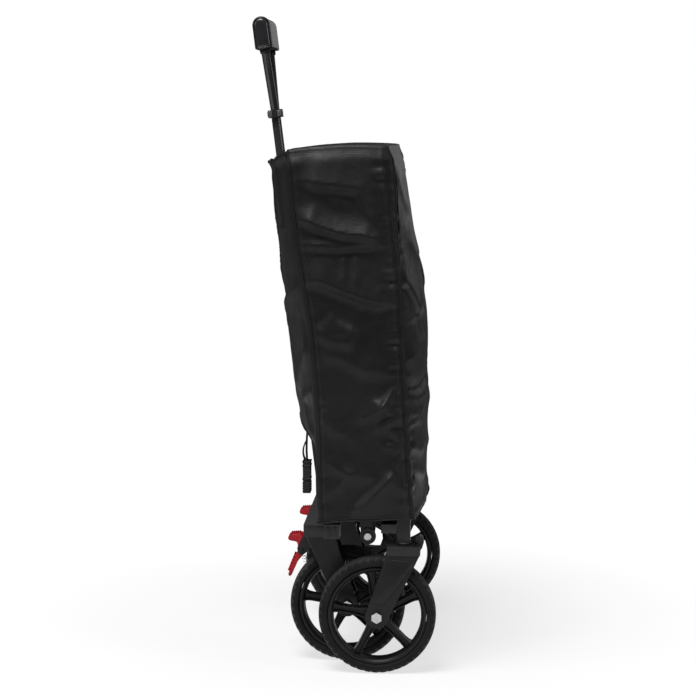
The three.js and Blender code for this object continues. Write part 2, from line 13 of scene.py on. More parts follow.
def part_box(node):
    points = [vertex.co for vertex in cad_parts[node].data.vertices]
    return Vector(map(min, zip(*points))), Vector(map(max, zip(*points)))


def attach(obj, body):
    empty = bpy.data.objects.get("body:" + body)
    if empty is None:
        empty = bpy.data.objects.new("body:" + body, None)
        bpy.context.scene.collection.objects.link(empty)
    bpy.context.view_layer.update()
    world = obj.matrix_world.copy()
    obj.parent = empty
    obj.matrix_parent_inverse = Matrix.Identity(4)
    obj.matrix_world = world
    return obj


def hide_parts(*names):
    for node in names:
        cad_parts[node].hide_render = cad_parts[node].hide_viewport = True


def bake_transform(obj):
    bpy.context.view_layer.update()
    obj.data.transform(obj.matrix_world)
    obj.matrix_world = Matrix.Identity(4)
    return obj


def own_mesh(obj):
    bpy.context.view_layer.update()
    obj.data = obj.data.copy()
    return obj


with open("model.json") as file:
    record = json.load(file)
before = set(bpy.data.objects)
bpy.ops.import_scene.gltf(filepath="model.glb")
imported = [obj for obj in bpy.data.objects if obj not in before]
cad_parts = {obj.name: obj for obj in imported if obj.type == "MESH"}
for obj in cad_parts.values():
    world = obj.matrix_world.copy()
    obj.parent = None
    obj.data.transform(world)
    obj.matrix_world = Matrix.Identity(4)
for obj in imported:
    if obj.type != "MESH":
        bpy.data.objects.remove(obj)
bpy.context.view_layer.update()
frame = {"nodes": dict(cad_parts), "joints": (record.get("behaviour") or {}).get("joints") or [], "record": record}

MM = 0.001
NODES = frame["nodes"]
JOINTS = {joint["name"]: joint for joint in frame["joints"]}
SIDES = (("right", -1), ("left", 1))


def node_box(node):
    """Lowest and highest corner of a CAD node, in millimetres."""
    low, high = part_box(node)
    return np.array(low) / MM, np.array(high) / MM


def node_middle(node):
    low, high = node_box(node)
    return (low + high) / 2


def pivot_of(joint):
    return np.array(JOINTS[joint]["pos_m"]) / MM


def put(node, **values):
    """Sets a shader node's inputs. An underscore in a name stands for a space."""
    for socket, value in values.items():
        node.inputs[socket.replace("_", " ")].default_value = value


# ---- Camera, floor and light ----

AMBIENT = 0.06


def add_camera():
    data = bpy.data.cameras.new("camera")
    data.lens = 103.3
    data.sensor_width = 36
    camera = bpy.data.objects.new("camera", data)
    camera.location = (0.2138, -3.58, 0.9203)
    camera.rotation_euler = (math.radians(90 - 6.25), 0, math.radians(3.425))
    bpy.context.collection.objects.link(camera)
    bpy.context.scene.camera = camera


def add_light(name, place, aim, size, power):
    data = bpy.data.lights.new(name, "AREA")
    data.shape = "RECTANGLE"
    data.size, data.size_y = size
    data.energy = power
    light = bpy.data.objects.new(name, data)
    light.location = place
    light.rotation_euler = (Vector(aim) - Vector(place)).to_track_quat("-Z", "Y").to_euler()
    bpy.context.collection.objects.link(light)


def add_studio():
    scene = bpy.context.scene
    scene.view_settings.view_transform = "Standard"
    world = bpy.data.worlds.new("studio")
    world.use_nodes = True
    tree = world.node_tree
    background = tree.nodes["Background"]
    put(background, Color=(1, 1, 1, 1))
    # the paper behind is white, and gives less light than it shows
    seen = tree.nodes.new("ShaderNodeLightPath").outputs["Is Camera Ray"]
    strength = tree.nodes.new("ShaderNodeMapRange")
    put(strength, To_Min=AMBIENT, To_Max=1.0)
    tree.links.new(seen, strength.inputs["Value"])
    tree.links.new(strength.outputs["Result"], background.inputs["Strength"])
    scene.world = world
    middle = (0, 0, 0.6)
    add_light("top", (-0.7, -1.5, 3.7), middle, (1.8, 1.8), 122)
    add_light("key", (-3.0, -1.6, 2.2), middle, (0.7, 1.6), 15)
    add_light("fill", (3.0, -1.6, 1.9), middle, (0.9, 1.8), 20)
    add_light("rim", (1.1, 3.0, 1.6), middle, (1.8, 1.8), 6)


FLOOR_HALF = 1.7
FLOOR_BACK = 1.05  # short behind the wagon, so that its cloth doesn't mirror a white floor


def add_floor():
    mesh = bpy.data.meshes.new("floor")
    corners = [(-FLOOR_HALF, -FLOOR_HALF, 0), (FLOOR_HALF, -FLOOR_HALF, 0),
               (FLOOR_HALF, FLOOR_BACK, 0), (-FLOOR_HALF, FLOOR_BACK, 0)]
    mesh.from_pydata(corners, [], [(0, 1, 2, 3)])
    floor = bpy.data.objects.new("floor", mesh)
    bpy.context.collection.objects.link(floor)
    material = bpy.data.materials.new("floor_white")
    material.use_nodes = True
    shader = material.node_tree.nodes["Principled BSDF"]
    put(shader, Base_Color=(0.86, 0.86, 0.86, 1), Roughness=0.7)
    # away from the wagon the floor goes over into the white paper behind
    tree = material.node_tree
    length = tree.nodes.new("ShaderNodeVectorMath")
    length.operation = "LENGTH"
    tree.links.new(tree.nodes.new("ShaderNodeNewGeometry").outputs["Position"], length.inputs[0])
    far = tree.nodes.new("ShaderNodeMapRange")
    put(far, From_Min=0.3, From_Max=1.5, To_Min=0.6)
    tree.links.new(length.outputs["Value"], far.inputs["Value"])
    glow = tree.nodes.new("ShaderNodeEmission")
    put(glow, Strength=1.15)
    mix = tree.nodes.new("ShaderNodeMixShader")
    tree.links.new(far.outputs["Result"], mix.inputs["Fac"])
    tree.links.new(shader.outputs["BSDF"], mix.inputs[1])
    tree.links.new(glow.outputs["Emission"], mix.inputs[2])
    tree.links.new(mix.outputs["Shader"], tree.nodes["Material Output"].inputs["Surface"])
    mesh.materials.append(material)


# ---- Materials ----

REST_PLACE = "rest_place"  # a soft piece's shape at rest, so its weave stays put in a pose


class Surface:
    """A Principled shader with helpers that add procedural detail to it."""

    def __init__(self, name, color, roughness, soft=False, **fixed):
        self.material = bpy.data.materials.new(name)
        self.material.use_nodes = True
        self.tree = self.material.node_tree
        self.shader = self.tree.nodes["Principled BSDF"]
        self.color = color
        self.roughness = roughness
        put(self.shader, **fixed)
        if soft:
            node = self.add("ShaderNodeAttribute", attribute_name=REST_PLACE)
            self.place = node.outputs["Vector"]
        else:
            self.place = self.add("ShaderNodeTexCoord").outputs["Object"]
        self.height = None

    def add(self, kind, **settings):
        node = self.tree.nodes.new(kind)
        for key, value in settings.items():
            setattr(node, key, value)
        return node

    def link(self, a, b):
        self.tree.links.new(a, b)

    def noise(self, scale, detail=3.0, rough=0.55, stretch=None):
        node = self.add("ShaderNodeTexNoise")
        put(node, Scale=scale, Detail=detail, Roughness=rough)
        place = self.place
        if stretch:
            mapping = self.add("ShaderNodeMapping")
            put(mapping, Scale=stretch)
            self.link(place, mapping.inputs["Vector"])
            place = mapping.outputs["Vector"]
        self.link(place, node.inputs["Vector"])
        return node.outputs["Fac"]

    def wave(self, scale, direction, distortion=0.0):
        node = self.add("ShaderNodeTexWave", bands_direction=direction, wave_profile="SIN")
        put(node, Scale=scale, Distortion=distortion)
        self.link(self.place, node.inputs["Vector"])
        return node.outputs["Fac"]

    def spread(self, source, low, high):
        """The source's middle range stretched from low to high."""
        node = self.add("ShaderNodeMapRange")
        put(node, From_Min=0.3, From_Max=0.7, To_Min=low, To_Max=high)
        self.link(source, node.inputs["Value"])
        return node.outputs["Result"]

    def combine(self, a, b, operation):
        node = self.add("ShaderNodeMath", operation=operation)
        self.link(a, node.inputs[0])
        if isinstance(b, (int, float)):
            node.inputs[1].default_value = b
        else:
            self.link(b, node.inputs[1])
        return node.outputs[0]

    def tint(self, share, other):
        """The colour goes from the base to the other one as share goes from 0 to 1."""
        node = self.add("ShaderNodeMix", data_type="RGBA")
        self.link(share, node.inputs["Factor"])
        current = self.shader.inputs["Base Color"]
        if current.is_linked:
            self.link(current.links[0].from_socket, node.inputs["A"])
        else:
            node.inputs["A"].default_value = (*self.color, 1)
        node.inputs["B"].default_value = (*other, 1)
        self.link(node.outputs["Result"], current)

    def gloss(self, source, swing):
        """Roughness swings by this much either way as the source goes through its middle range."""
        result = self.spread(source, self.roughness - swing, self.roughness + swing)
        self.link(result, self.shader.inputs["Roughness"])

    def bump(self, source, distance, strength=1.0):
        node = self.add("ShaderNodeBump")
        put(node, Distance=distance * MM, Strength=strength)
        self.link(source, node.inputs["Height"])
        if self.height:
            self.link(self.height, node.inputs["Normal"])
        self.height = node.outputs["Normal"]
        self.link(self.height, self.shader.inputs["Normal"])

    def worn_edges(self, other, low=0.52, high=0.62):
        """Edges, where hands and other things rub, go towards the other colour."""
        edge = self.add("ShaderNodeNewGeometry").outputs["Pointiness"]
        node = self.add("ShaderNodeMapRange")
        put(node, From_Min=low, From_Max=high)
        self.link(edge, node.inputs["Value"])
        patchy = self.combine(node.outputs["Result"], self.noise(220), "MULTIPLY")
        self.tint(patchy, other)


def scaled(color, factor):
    return tuple(c * factor for c in color)


def moulded(name, color, roughness, grain, swing=0.06, **fixed):
    """Moulded plastic: a fine grain, uneven gloss and a trace of dust and wear."""
    fixed.setdefault("Specular_IOR_Level", 0.25)
    s = Surface(name, color, roughness, **fixed)
    s.tint(s.spread(s.noise(34, 4), 0, 0.55), scaled(color, 1.9))
    s.worn_edges(tuple(min(1, c * 3 + 0.02) for c in color))
    s.gloss(s.noise(60, 5), swing)
    s.bump(s.noise(1500, 2), grain)
    s.bump(s.noise(45, 2), grain * 2)
    return s.material


def painted(name, color, roughness, specular=0.25):
    """Powder coat: orange peel over steel tube, with rubbed edges."""
    s = Surface(name, color, roughness, Specular_IOR_Level=specular, Coat_Weight=0.06, Coat_Roughness=0.3)
    s.tint(s.spread(s.noise(22, 5), 0, 0.5), scaled(color, 1.7))
    s.worn_edges((0.16, 0.16, 0.165), 0.54, 0.66)
    s.gloss(s.noise(90, 4), 0.07)
    s.bump(s.noise(620, 2), 0.10)
    return s.material


def bright_metal(name, color, roughness):
    s = Surface(name, color, roughness, Metallic=1.0)
    s.tint(s.spread(s.noise(140, 4), 0, 0.6), scaled(color, 0.62))
    s.gloss(s.noise(500, 3, stretch=(1, 8, 1)), 0.1)
    s.bump(s.noise(900, 2, stretch=(1, 10, 1)), 0.05)
    return s.material


def rubber(name, color):
    s = Surface(name, color, 0.7, Specular_IOR_Level=0.15)
    s.tint(s.spread(s.noise(30, 5), 0, 0.7), scaled(color, 2.4))
    s.gloss(s.noise(120, 4), 0.08)
    s.bump(s.noise(1100, 3), 0.14)
    return s.material


def woven(name, color, roughness, thread, relief, sheen, mottle=1.8):
    """Plain weave: threads of this width in millimetres crossing each other."""
    fixed = {"Sheen_Weight": sheen, "Sheen_Roughness": 0.45, "Specular_IOR_Level": 0.2}
    s = Surface(name, color, roughness, soft=True, **fixed)
    per_metre = 1000 / thread / math.tau / 2
    up = s.wave(per_metre, "Z", 0.4)
    across = s.combine(s.wave(per_metre, "X", 0.4), s.wave(per_metre, "Y", 0.4), "MAXIMUM")
    weave = s.combine(up, across, "MULTIPLY")
    s.tint(s.spread(s.noise(9, 5), 0, 0.8), scaled(color, mottle))
    s.tint(s.combine(weave, 0.35, "MULTIPLY"), scaled(color, 2.2))
    s.gloss(s.noise(45, 5, 0.65), 0.09)
    s.bump(weave, relief)
    s.bump(s.noise(95, 4, 0.6), 0.5, 0.8)
    return s.material


paint = painted("frame_paint", (0.011, 0.011, 0.012), 0.36)
plastic = moulded("black_plastic", (0.013, 0.013, 0.014), 0.45, 0.05)
gloss = moulded(
    "gloss_plastic", (0.009, 0.009, 0.010), 0.22, 0.015, 0.05, Coat_Weight=0.2, Coat_Roughness=0.12
)
fork_black = moulded("fork_black", (0.0105, 0.0105, 0.011), 0.38, 0.03, 0.05, Specular_IOR_Level=0.2)
rim_black = moulded("rim_black", (0.0075, 0.0075, 0.008), 0.36, 0.03, 0.05, Specular_IOR_Level=0.22)
grip_plastic = moulded("grip_plastic", (0.010, 0.010, 0.011), 0.22, 0.02, 0.06, Specular_IOR_Level=0.5)
grip_cap = moulded("grip_cap", (0.018, 0.018, 0.020), 0.2, 0.02, 0.05, Specular_IOR_Level=0.6)
collar_grey = moulded("collar_grey", (0.075, 0.075, 0.080), 0.3, 0.02, 0.06, Specular_IOR_Level=0.5)
stem_paint = painted("stem_paint", (0.018, 0.018, 0.019), 0.24, 0.6)
red = moulded("red_plastic", (0.36, 0.006, 0.014), 0.34, 0.03, 0.06, Specular_IOR_Level=0.3)
steel = bright_metal("bright_steel", (0.62, 0.62, 0.63), 0.27)
tyre_rubber = rubber("tyre_rubber", (0.0075, 0.0075, 0.008))
# the tread is the tyre's own rubber painted three times lighter: painted light, for the light that falls on its
# rolling face
tread_rubber_painted_light = rubber("tread_rubber_painted_light", (0.024, 0.024, 0.025))
nylon = woven("cover_nylon", (0.0080, 0.0075, 0.0083), 0.46, 0.7, 0.06, 0.01)
# the piping is the cover's own nylon painted half as bright: painted shade, for the dark line down each seam
piping_cloth_painted_shade = woven("piping_cloth_painted_shade", (0.004, 0.004, 0.0045), 0.5, 0.6, 0.08, 0.05)
polyester = woven("wagon_fabric", (0.014, 0.014, 0.016), 0.75, 0.9, 0.16, 0.12)
webbing = woven("webbing", (0.011, 0.011, 0.012), 0.7, 1.5, 0.35, 0.1)
thread = woven("thread", (0.026, 0.026, 0.028), 0.6, 0.4, 0.1, 0.1)

SLOT_MATERIALS = {
    "frame_paint": paint, "black_plastic": plastic, "gloss_plastic": gloss,
    "grip_plastic": grip_plastic, "tyre": tyre_rubber, "bright_steel": steel,
    "red_plastic": red, "cover_nylon": nylon, "wagon_fabric": polyester,
    "webbing": webbing, "floor_board": polyester,
}


# ---- Mesh helpers ----


def piece(name, points, faces, material, body, slot, smooth=True):
    """A mesh object from points in millimetres, which rides on a body."""
    mesh = bpy.data.meshes.new(name)
    mesh.from_pydata((np.asarray(points, float) * MM).tolist(), [], [list(f) for f in faces])
    mesh.update()
    if smooth:
        mesh.shade_smooth()
    mesh.materials.append(material)
    obj = bpy.data.objects.new(name, mesh)
    bpy.context.collection.objects.link(obj)
    keep_place(mesh)
    if body:
        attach(obj, body)
    return obj


def keep_place(mesh):
    co = np.zeros(len(mesh.vertices) * 3, np.float32)
    mesh.vertices.foreach_get("co", co)
    mesh.attributes.new(REST_PLACE, "FLOAT_VECTOR", "POINT").data.foreach_set("vector", co)


def soften(obj, width, segments=3, angle=30):
    """Rounded edges, with flat faces kept flat."""
    bevel = obj.modifiers.new("edges", "BEVEL")
    bevel.width = width * MM
    bevel.segments = segments
    bevel.limit_method = "ANGLE"
    bevel.angle_limit = math.radians(angle)
    normals = obj.modifiers.new("normals", "WEIGHTED_NORMAL")
    normals.keep_sharp = True
    return obj


def grid_faces(rows, columns, closed=False, start=0):
    """Quads between rows of points; closed joins each row's end to its start."""
    faces = []
    for r in range(rows - 1):
        for c in range(columns if closed else columns - 1):
            a, b = start + r * columns + c, start + r * columns + (c + 1) % columns
            faces.append((a, b, b + columns, a + columns))
    return faces


def skin(rings, ends=True):
    """Closed rings of equal length skinned together, with both ends filled."""
    count = len(rings[0])
    points = [p for ring in rings for p in ring]
    faces = grid_faces(len(rings), count, closed=True)
    if ends:
        faces.append(tuple(range(count))[::-1])
        last = (len(rings) - 1) * count
        faces.append(tuple(range(last, last + count)))
    return points, faces


def merged(parts):
    """Several (points, faces) pairs as one."""
    points, faces = [], []
    for some, polygons in parts:
        start = len(points)
        points.extend(some)
        faces.extend(tuple(i + start for i in f) for f in polygons)
    return points, faces


def ring_faces(rings):
    """Closed sections standing in a closed circle, skinned into a ring."""
    sides, count = len(rings), len(rings[0])
    faces = []
    for i in range(sides):
        a, b = i * count, ((i + 1) % sides) * count
        for j in range(count):
            k = (j + 1) % count
            faces.append((a + j, b + j, b + k, a + k))
    return [p for ring in rings for p in ring], faces


def turns(sides):
    """Angles evenly spaced round a circle."""
    return [math.tau * i / sides for i in range(sides)]


def oblong(x0, z0, x1, z1):
    """The corners of an upright rectangle."""
    return [(x0, z0), (x1, z0), (x1, z1), (x0, z1)]


def thicken(obj, thickness, offset=0):
    """A sheet made as thick as its cloth, in millimetres."""
    solid = obj.modifiers.new("cloth", "SOLIDIFY")
    solid.thickness = thickness * MM
    solid.offset = offset


def lathe(profile, sides, middle):
    """A closed profile of (radius, y) turned about a line along Y through the middle."""
    return ring_faces([
        [(middle[0] + r * math.cos(a), middle[1] + y, middle[2] + r * math.sin(a)) for r, y in profile]
        for a in turns(sides)
    ])


def extruded(outline, y0, y1):
    """An outline of (x, z) points given thickness along Y."""
    return skin([[(x, y0, z) for x, z in outline], [(x, y1, z) for x, z in outline]])


def tube(path, radius, sides=8, closed=False):
    """A round tube along a path of points."""
    path = np.asarray(path, float)
    ahead = np.roll(path, -1, 0) if closed else np.vstack([path[1:], 2 * path[-1] - path[-2]])
    behind = np.roll(path, 1, 0) if closed else np.vstack([2 * path[0] - path[1], path[:-1]])
    rings = []
    side = None
    for point, way in zip(path, ahead - behind):
        way = way / max(np.linalg.norm(way), 1e-9)
        if side is None:
            side = np.cross(way, (0, 1, 0) if abs(way[1]) < 0.9 else (1, 0, 0))
        side = side - way * (side @ way)
        side /= np.linalg.norm(side)
        other = np.cross(way, side)
        rings.append([
            tuple(point + radius * (side * math.cos(a) + other * math.sin(a)))
            for a in turns(sides)
        ])
    if closed:
        return skin(rings + [rings[0]], ends=False)
    return skin(rings)


def ribbon(path, width, thick, sides_y=6):
    """Flat webbing along a path of (x, z) points, its width along Y and centred on Y 0."""
    path = np.asarray(path, float)
    way = np.gradient(path, axis=0)
    way /= np.linalg.norm(way, axis=1)[:, None]
    across = np.linspace(-width / 2, width / 2, sides_y)
    rings = []
    for (x, z), (wx, wz) in zip(path, way):
        nx, nz = -wz * thick / 2, wx * thick / 2
        edge = 0.55
        upper = [(x + nx * (edge if i in (0, sides_y - 1) else 1), y, z + nz) for i, y in enumerate(across)]
        lower = [(x - nx * (edge if i in (0, sides_y - 1) else 1), y, z - nz) for i, y in enumerate(across)]
        rings.append(upper + lower[::-1])
    return skin(rings)


def smoothstep(low, high, value):
    t = np.clip((np.asarray(value, float) - low) / (high - low), 0, 1)
    return t * t * (3 - 2 * t)


# ---- CAD nodes that stay ----


def dress_frame():
    """Rounded edges and the slot's material on each CAD node."""
    slots = {s["node"]: s["material_slot"] for s in frame["record"]["subparts"]}
    for name, obj in NODES.items():
        slot = slots[name]
        material = SLOT_MATERIALS[slot]
        if name.startswith("caster_fork"):
            material = fork_black
        elif name.startswith("handle_") and slot == "frame_paint":
            material = stem_paint
        obj.data.materials.clear()
        obj.data.materials.append(material)
        if not obj.data.attributes.get(REST_PLACE):
            keep_place(obj.data)
        weld = obj.modifiers.new("weld", "WELD")
        weld.merge_threshold = 0.00002
        soften(obj, 0.6 if slot in ("bright_steel", "black_plastic") else 0.9, 2, 40)


# ---- Wheels ----

TYRE_PROFILE = [  # (y, radius) from the middle of the tread round to the bead, one side
    (0, 99.9), (1.8, 99.9), (2.6, 99.9), (3.4, 99.9), (5.6, 99.85), (7.2, 99.8), (8.0, 99.75), (8.8, 99.7),
    (11, 99.5), (12.6, 99.3), (14.4, 98.9), (16.6, 97.9), (18.4, 96.4), (19.5, 94.4), (20, 91.2),
    (19.5, 89.4), (19.9, 88.4), (19.3, 86.4), (17.6, 84.8), (15.5, 84.2),
]
TREAD_GROOVES = {2.6: 1.8, 8.0: 1.8, 12.6: 1.2}  # distance from the middle, depth
TREAD_BARS = 46
SPOKES = 5
SPOKE_START = 27  # degrees above the horizontal


def tyre(name, middle):
    """A tyre with ribs round its tread and notches along its shoulders."""
    profile = [(-y, r) for y, r in TYRE_PROFILE[::-1][:-1]] + TYRE_PROFILE
    sides = TREAD_BARS * 5
    rings = []
    for i in range(sides):
        a = math.tau * i / sides
        ring = []
        for y, r in profile:
            side_shift = 0.5 if y > 0 else 0
            notch = ((i / 5 + side_shift + abs(y) / 40) % 1) < 0.3 and abs(y) > 10 and r > 94
            groove = TREAD_GROOVES.get(round(abs(y), 1), 0)
            reach = r - max(groove, 2.6 if notch else 0)
            ring.append((middle[0] + reach * math.cos(a), middle[1] + y, middle[2] + reach * math.sin(a)))
        rings.append(ring)
    points, faces = ring_faces(rings)
    side = name.split("_", 1)[1]
    obj = piece(f"{name}_tread", points, faces, tyre_rubber, f"wheel_{side}", "tyre")
    # the tread faces take the lighter rubber, a painted highlight round the tyre
    obj.data.materials.append(tread_rubber_painted_light)
    for face in obj.data.polygons:
        across = (face.center[1] - middle[1] * MM) / MM
        reach = math.hypot(face.center[0] / MM - middle[0], face.center[2] / MM - middle[2])
        face.material_index = int(abs(across) < 17.5 and reach > 94)
    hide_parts(name)


RIM_PROFILE = [
    (83.6, -16.6), (81.6, -17.4), (79.6, -17.2), (78.2, -15.6), (76.8, -14.2), (75.6, -12.5), (74.8, -8),
    (74.4, 0), (74.8, 8), (75.6, 12.5), (76.8, 14.2), (78.2, 15.6), (79.6, 17.2), (81.6, 17.4), (83.6, 16.6),
]
HUB_PROFILE = [
    (5.7, -21), (11.5, -21), (12.2, -20.2), (15, -20.2), (16.6, -18.8), (17.2, -15), (19.5, -13),
    (20.5, -11.6),
    (20.5, 11.6), (19.5, 13), (17.2, 15), (16.6, 18.8), (15, 20.2), (12.2, 20.2), (11.5, 21), (5.7, 21),
]
SPOKE_STATIONS = [  # radius, half width, half depth
    (13, 9.5, 11.8), (21, 8.2, 11.6), (28, 7.0, 11.2), (40, 6.3, 10.8), (52, 6.2, 10.6),
    (62, 6.0, 10.8), (69, 6.5, 11.4), (74, 7.8, 12.4), (77.5, 10, 13),
]


def channel_section(width, depth):
    """A spoke's section: a web between two walls, so it is hollow on both faces."""
    wall, hollow = 2.2, depth * 0.55
    inner = width - wall
    half = [(-width, -depth), (-inner, -depth), (-inner + 0.9, -depth + hollow),
            (inner - 0.9, -depth + hollow), (inner, -depth), (width, -depth)]
    return half + [(-x, -y) for x, y in half]


def rim(name, middle):
    parts = [lathe(RIM_PROFILE, 96, middle), lathe(HUB_PROFILE, 48, middle)]
    for i in range(SPOKES):
        a = math.radians(SPOKE_START + 360 / SPOKES * i)
        out = np.array((math.cos(a), 0, math.sin(a)))
        turn = np.array((-math.sin(a), 0, math.cos(a)))
        rings = []
        for r, width, depth in SPOKE_STATIONS:
            at, section = middle + out * r, channel_section(width, depth)
            rings.append([tuple(at + turn * x + np.array((0, y, 0))) for x, y in section])
        parts.append(skin(rings))
    side = name.split("_", 1)[1]
    obj = piece(f"{name}_spoked", *merged(parts), rim_black, f"wheel_{side}", "gloss_plastic")
    soften(obj, 0.5, 2, 35)
    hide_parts(name)


def washer(name, x, y0, y1, z, radius, body, bore=5.2):
    low, high = sorted((y0, y1))
    rise = [(bore, low), (radius - 0.5, low), (radius, low + 0.4)]
    profile = rise + [(radius, high - 0.4), (radius - 0.5, high), (bore, high)]
    piece(name, *lathe(profile, 40, (x, 0, z)), steel, body, "bright_steel")


def add_wheels():
    for side, sign in SIDES:
        for end in ("front", "rear"):
            middle = node_middle(f"tyre_{end}_{side}")
            tyre(f"tyre_{end}_{side}", middle)
            rim(f"rim_{end}_{side}", middle)
        caster_details(side, sign)


# ---- Caster forks and feet ----


def caster_details(side, sign):
    """A raised panel on each face of the fork, and a collar where the stem enters the frame."""
    hub = node_middle(f"tyre_front_{side}")
    stem_x = pivot_of(f"caster_swivel_{side}")[0]
    body = f"caster_{side}"
    for face in (-1, 1):
        plane = hub[1] + face * 26
        outline = rounded([(stem_x - 22, 199), (hub[0] - 10, 126), (hub[0] + 11, 122), (stem_x + 21, 196)], 7)
        tag = "outer" if face == sign else "inner"
        points, faces = raised(outline, plane, face * 1.6, 1.4)
        piece(f"fork_panel_{tag}_{side}", points, faces, fork_black, body, "gloss_plastic")
    rim_profile = [(8.4, 0), (13.5, 0), (13.5, 2.2), (12, 3.6), (8.4, 3.6)]
    rings = [[(stem_x + r * math.cos(a), hub[1] + r * math.sin(a), 222.2 + z) for r, z in rim_profile]
             for a in turns(36)]
    piece(f"stem_collar_{side}", *ring_faces(rings), plastic, body, "black_plastic")


def rounded(outline, radius, steps=5):
    """The outline with each corner turned into a curve."""
    points = np.asarray(outline, float)
    result = []
    for before, corner, after in zip(np.roll(points, 1, 0), points, np.roll(points, -1, 0)):
        a = before - corner
        b = after - corner
        start = corner + a / np.linalg.norm(a) * min(radius, np.linalg.norm(a) / 2.1)
        end = corner + b / np.linalg.norm(b) * min(radius, np.linalg.norm(b) / 2.1)
        for i in range(steps + 1):
            t = i / steps
            result.append(tuple((1 - t) ** 2 * start + 2 * t * (1 - t) * corner + t * t * end))
    return result


def inset(outline, distance):
    """The outline drawn in towards its own middle by about this distance."""
    points = np.asarray(outline, float)
    middle = points.mean(0)
    away = points - middle
    reach = np.linalg.norm(away, axis=1)[:, None]
    return [tuple(p) for p in middle + away * (1 - distance / np.maximum(reach, 1))]


def raised(outline, plane, height, slope):
    """A low pad standing on a face square to Y, its edge sloped and rounded."""
    levels = [(0, -0.2 * height), (0, height * 0.5), (slope * 0.35, height * 0.85), (slope, height)]
    rings = [[(x, plane + y, z) for x, z in inset(outline, d)] for d, y in levels]
    return skin(rings if height < 0 else [ring[::-1] for ring in rings])


def add_channel_plugs():
    """Moulded plugs close the open ends of the axle channel."""
    low, high = node_box("rear_axle_channel")
    for side, sign in SIDES:
        end = high[1] if sign > 0 else low[1]
        top = high[2] - 1
        outline = rounded(oblong(-61.5, top - 20, -6.5, top), 2.5)
        points, faces = raised(outline, end - sign * 1.5, sign * 3.2, 1.6)
        piece(f"channel_plug_{side}", points, faces, plastic, "rear_frame", "black_plastic")


def add_feet():
    """Each rear foot has a collar at its mouth and a slot down its outer face."""
    for side, sign in SIDES:
        low, high = node_box(f"rear_post_foot_{side}")
        x = (low[0] + high[0]) / 2
        outer = high[1] if sign > 0 else low[1]
        for name, dx in (("a", -5.2), ("b", 5.2)):
            outline = rounded(oblong(x + dx - 2.4, low[2] + 3, x + dx + 2.4, high[2] - 4), 2)
            points, faces = raised(outline, outer, sign * 1.1, 0.8)
            piece(f"foot_rib_{name}_{side}", points, faces, plastic, "rear_frame", "black_plastic")
        middle = (low + high) / 2
        half = (high - low)[:2] / 2
        rings = []
        for grow, up in ((0.2, -4.2), (1.3, -3.4), (1.3, -0.8), (0.4, 0.2)):
            z = high[2] + up
            square = rounded(oblong(-half[0] - grow, -half[1] - grow, half[0] + grow, half[1] + grow), 3)
            rings.append([(middle[0] + a, middle[1] + b, z) for a, b in square])
        inner = rings[-1]
        hollow = [(middle[0] + (a - middle[0]) * 0.9, middle[1] + (b - middle[1]) * 0.9, z)
                  for a, b, z in inner]
        low_hollow = [(a, b, high[2] - 4.2) for a, b, z in hollow]
        points, faces = skin(rings + [hollow, low_hollow, rings[0]], ends=False)
        piece(f"foot_collar_{side}", points, faces, plastic, "rear_frame", "black_plastic")


# ---- Pull handle ----

GRIP_LOW, GRIP_HIGH, GRIP_HALF_X, GRIP_HALF_Y = 766, 823, 15.5, 65.5


def handle_frame():
    """The handle's pivot, its direction up the stem and the direction square to it."""
    up = np.array(JOINTS["handle_slide"]["axis"])
    return pivot_of("handle_swing"), up, np.array((up[2], 0, -up[0]))


def on_handle(u, y, w):
    pivot, up, out = handle_frame()
    return tuple(pivot + out * u + up * w + np.array((0, y, 0)))


def ring_on_handle(r, w, sides):
    """A circle round the handle's axis, at a distance up it."""
    return [on_handle(r * math.cos(a), r * math.sin(a), w) for a in turns(sides)]


def arch(shrink, steps=18):
    """The grip's outline across the bar: a flat bottom under a round top."""
    half = GRIP_HALF_X - shrink
    top = GRIP_HIGH - GRIP_HALF_X
    low = GRIP_LOW + shrink
    points = [(half - 2.5, low), (half - 0.7, low + 0.8), (half, low + 3)]
    points += [(half, GRIP_LOW + 5 + (top - GRIP_LOW - 5) * i / 4) for i in range(1, 4)]
    points += [(half * math.cos(a), top + half * math.sin(a)) for a in np.linspace(0, math.pi, steps)]
    return points + [(-x, z) for x, z in points[:6]][::-1]


def add_grip():
    half = GRIP_HALF_Y
    ends = [(half - 3.2, 5.4), (half - 2.9, 4.6), (half - 0.4, 3.6), (half, 2.6), (half - 0.2, 1.2),
            (half - 1.4, 0.3), (half - 3.2, 0), (half - 11, 0), (half - 11.5, 1.1), (half - 12.5, 1.1),
            (half - 13, 0.1)]
    stations = [(-y, shrink) for y, shrink in ends]
    stations += [(y, 0.9 + 0.5 * math.cos(y * math.tau / 13)) for y in np.linspace(-48, 48, 49)]
    stations += [(y, shrink) for y, shrink in ends[::-1]]
    rings = [[on_handle(x, y, w) for x, w in arch(shrink)] for y, shrink in stations]
    points, faces = skin(rings)
    obj = piece("grip_moulding", points, faces, grip_plastic, "handle_slider", "grip_plastic")
    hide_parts("handle_grip")
    for name, sign in (("right", -1), ("left", 1)):
        rings = []
        for shrink, y in ((3.2, half - 3.4), (3.5, half - 1.0), (4.6, half + 0.4), (6.6, half + 1.3),
                          (9.2, half + 1.8), (12.5, half + 2.0)):
            rings.append([on_handle(x, sign * y, w) for x, w in arch(shrink)])
        points, faces = skin(rings if sign < 0 else [r[::-1] for r in rings])
        piece(f"grip_end_panel_{name}", points, faces, grip_cap, "handle_slider", "grip_plastic")
    add_sockets()
    add_collar()


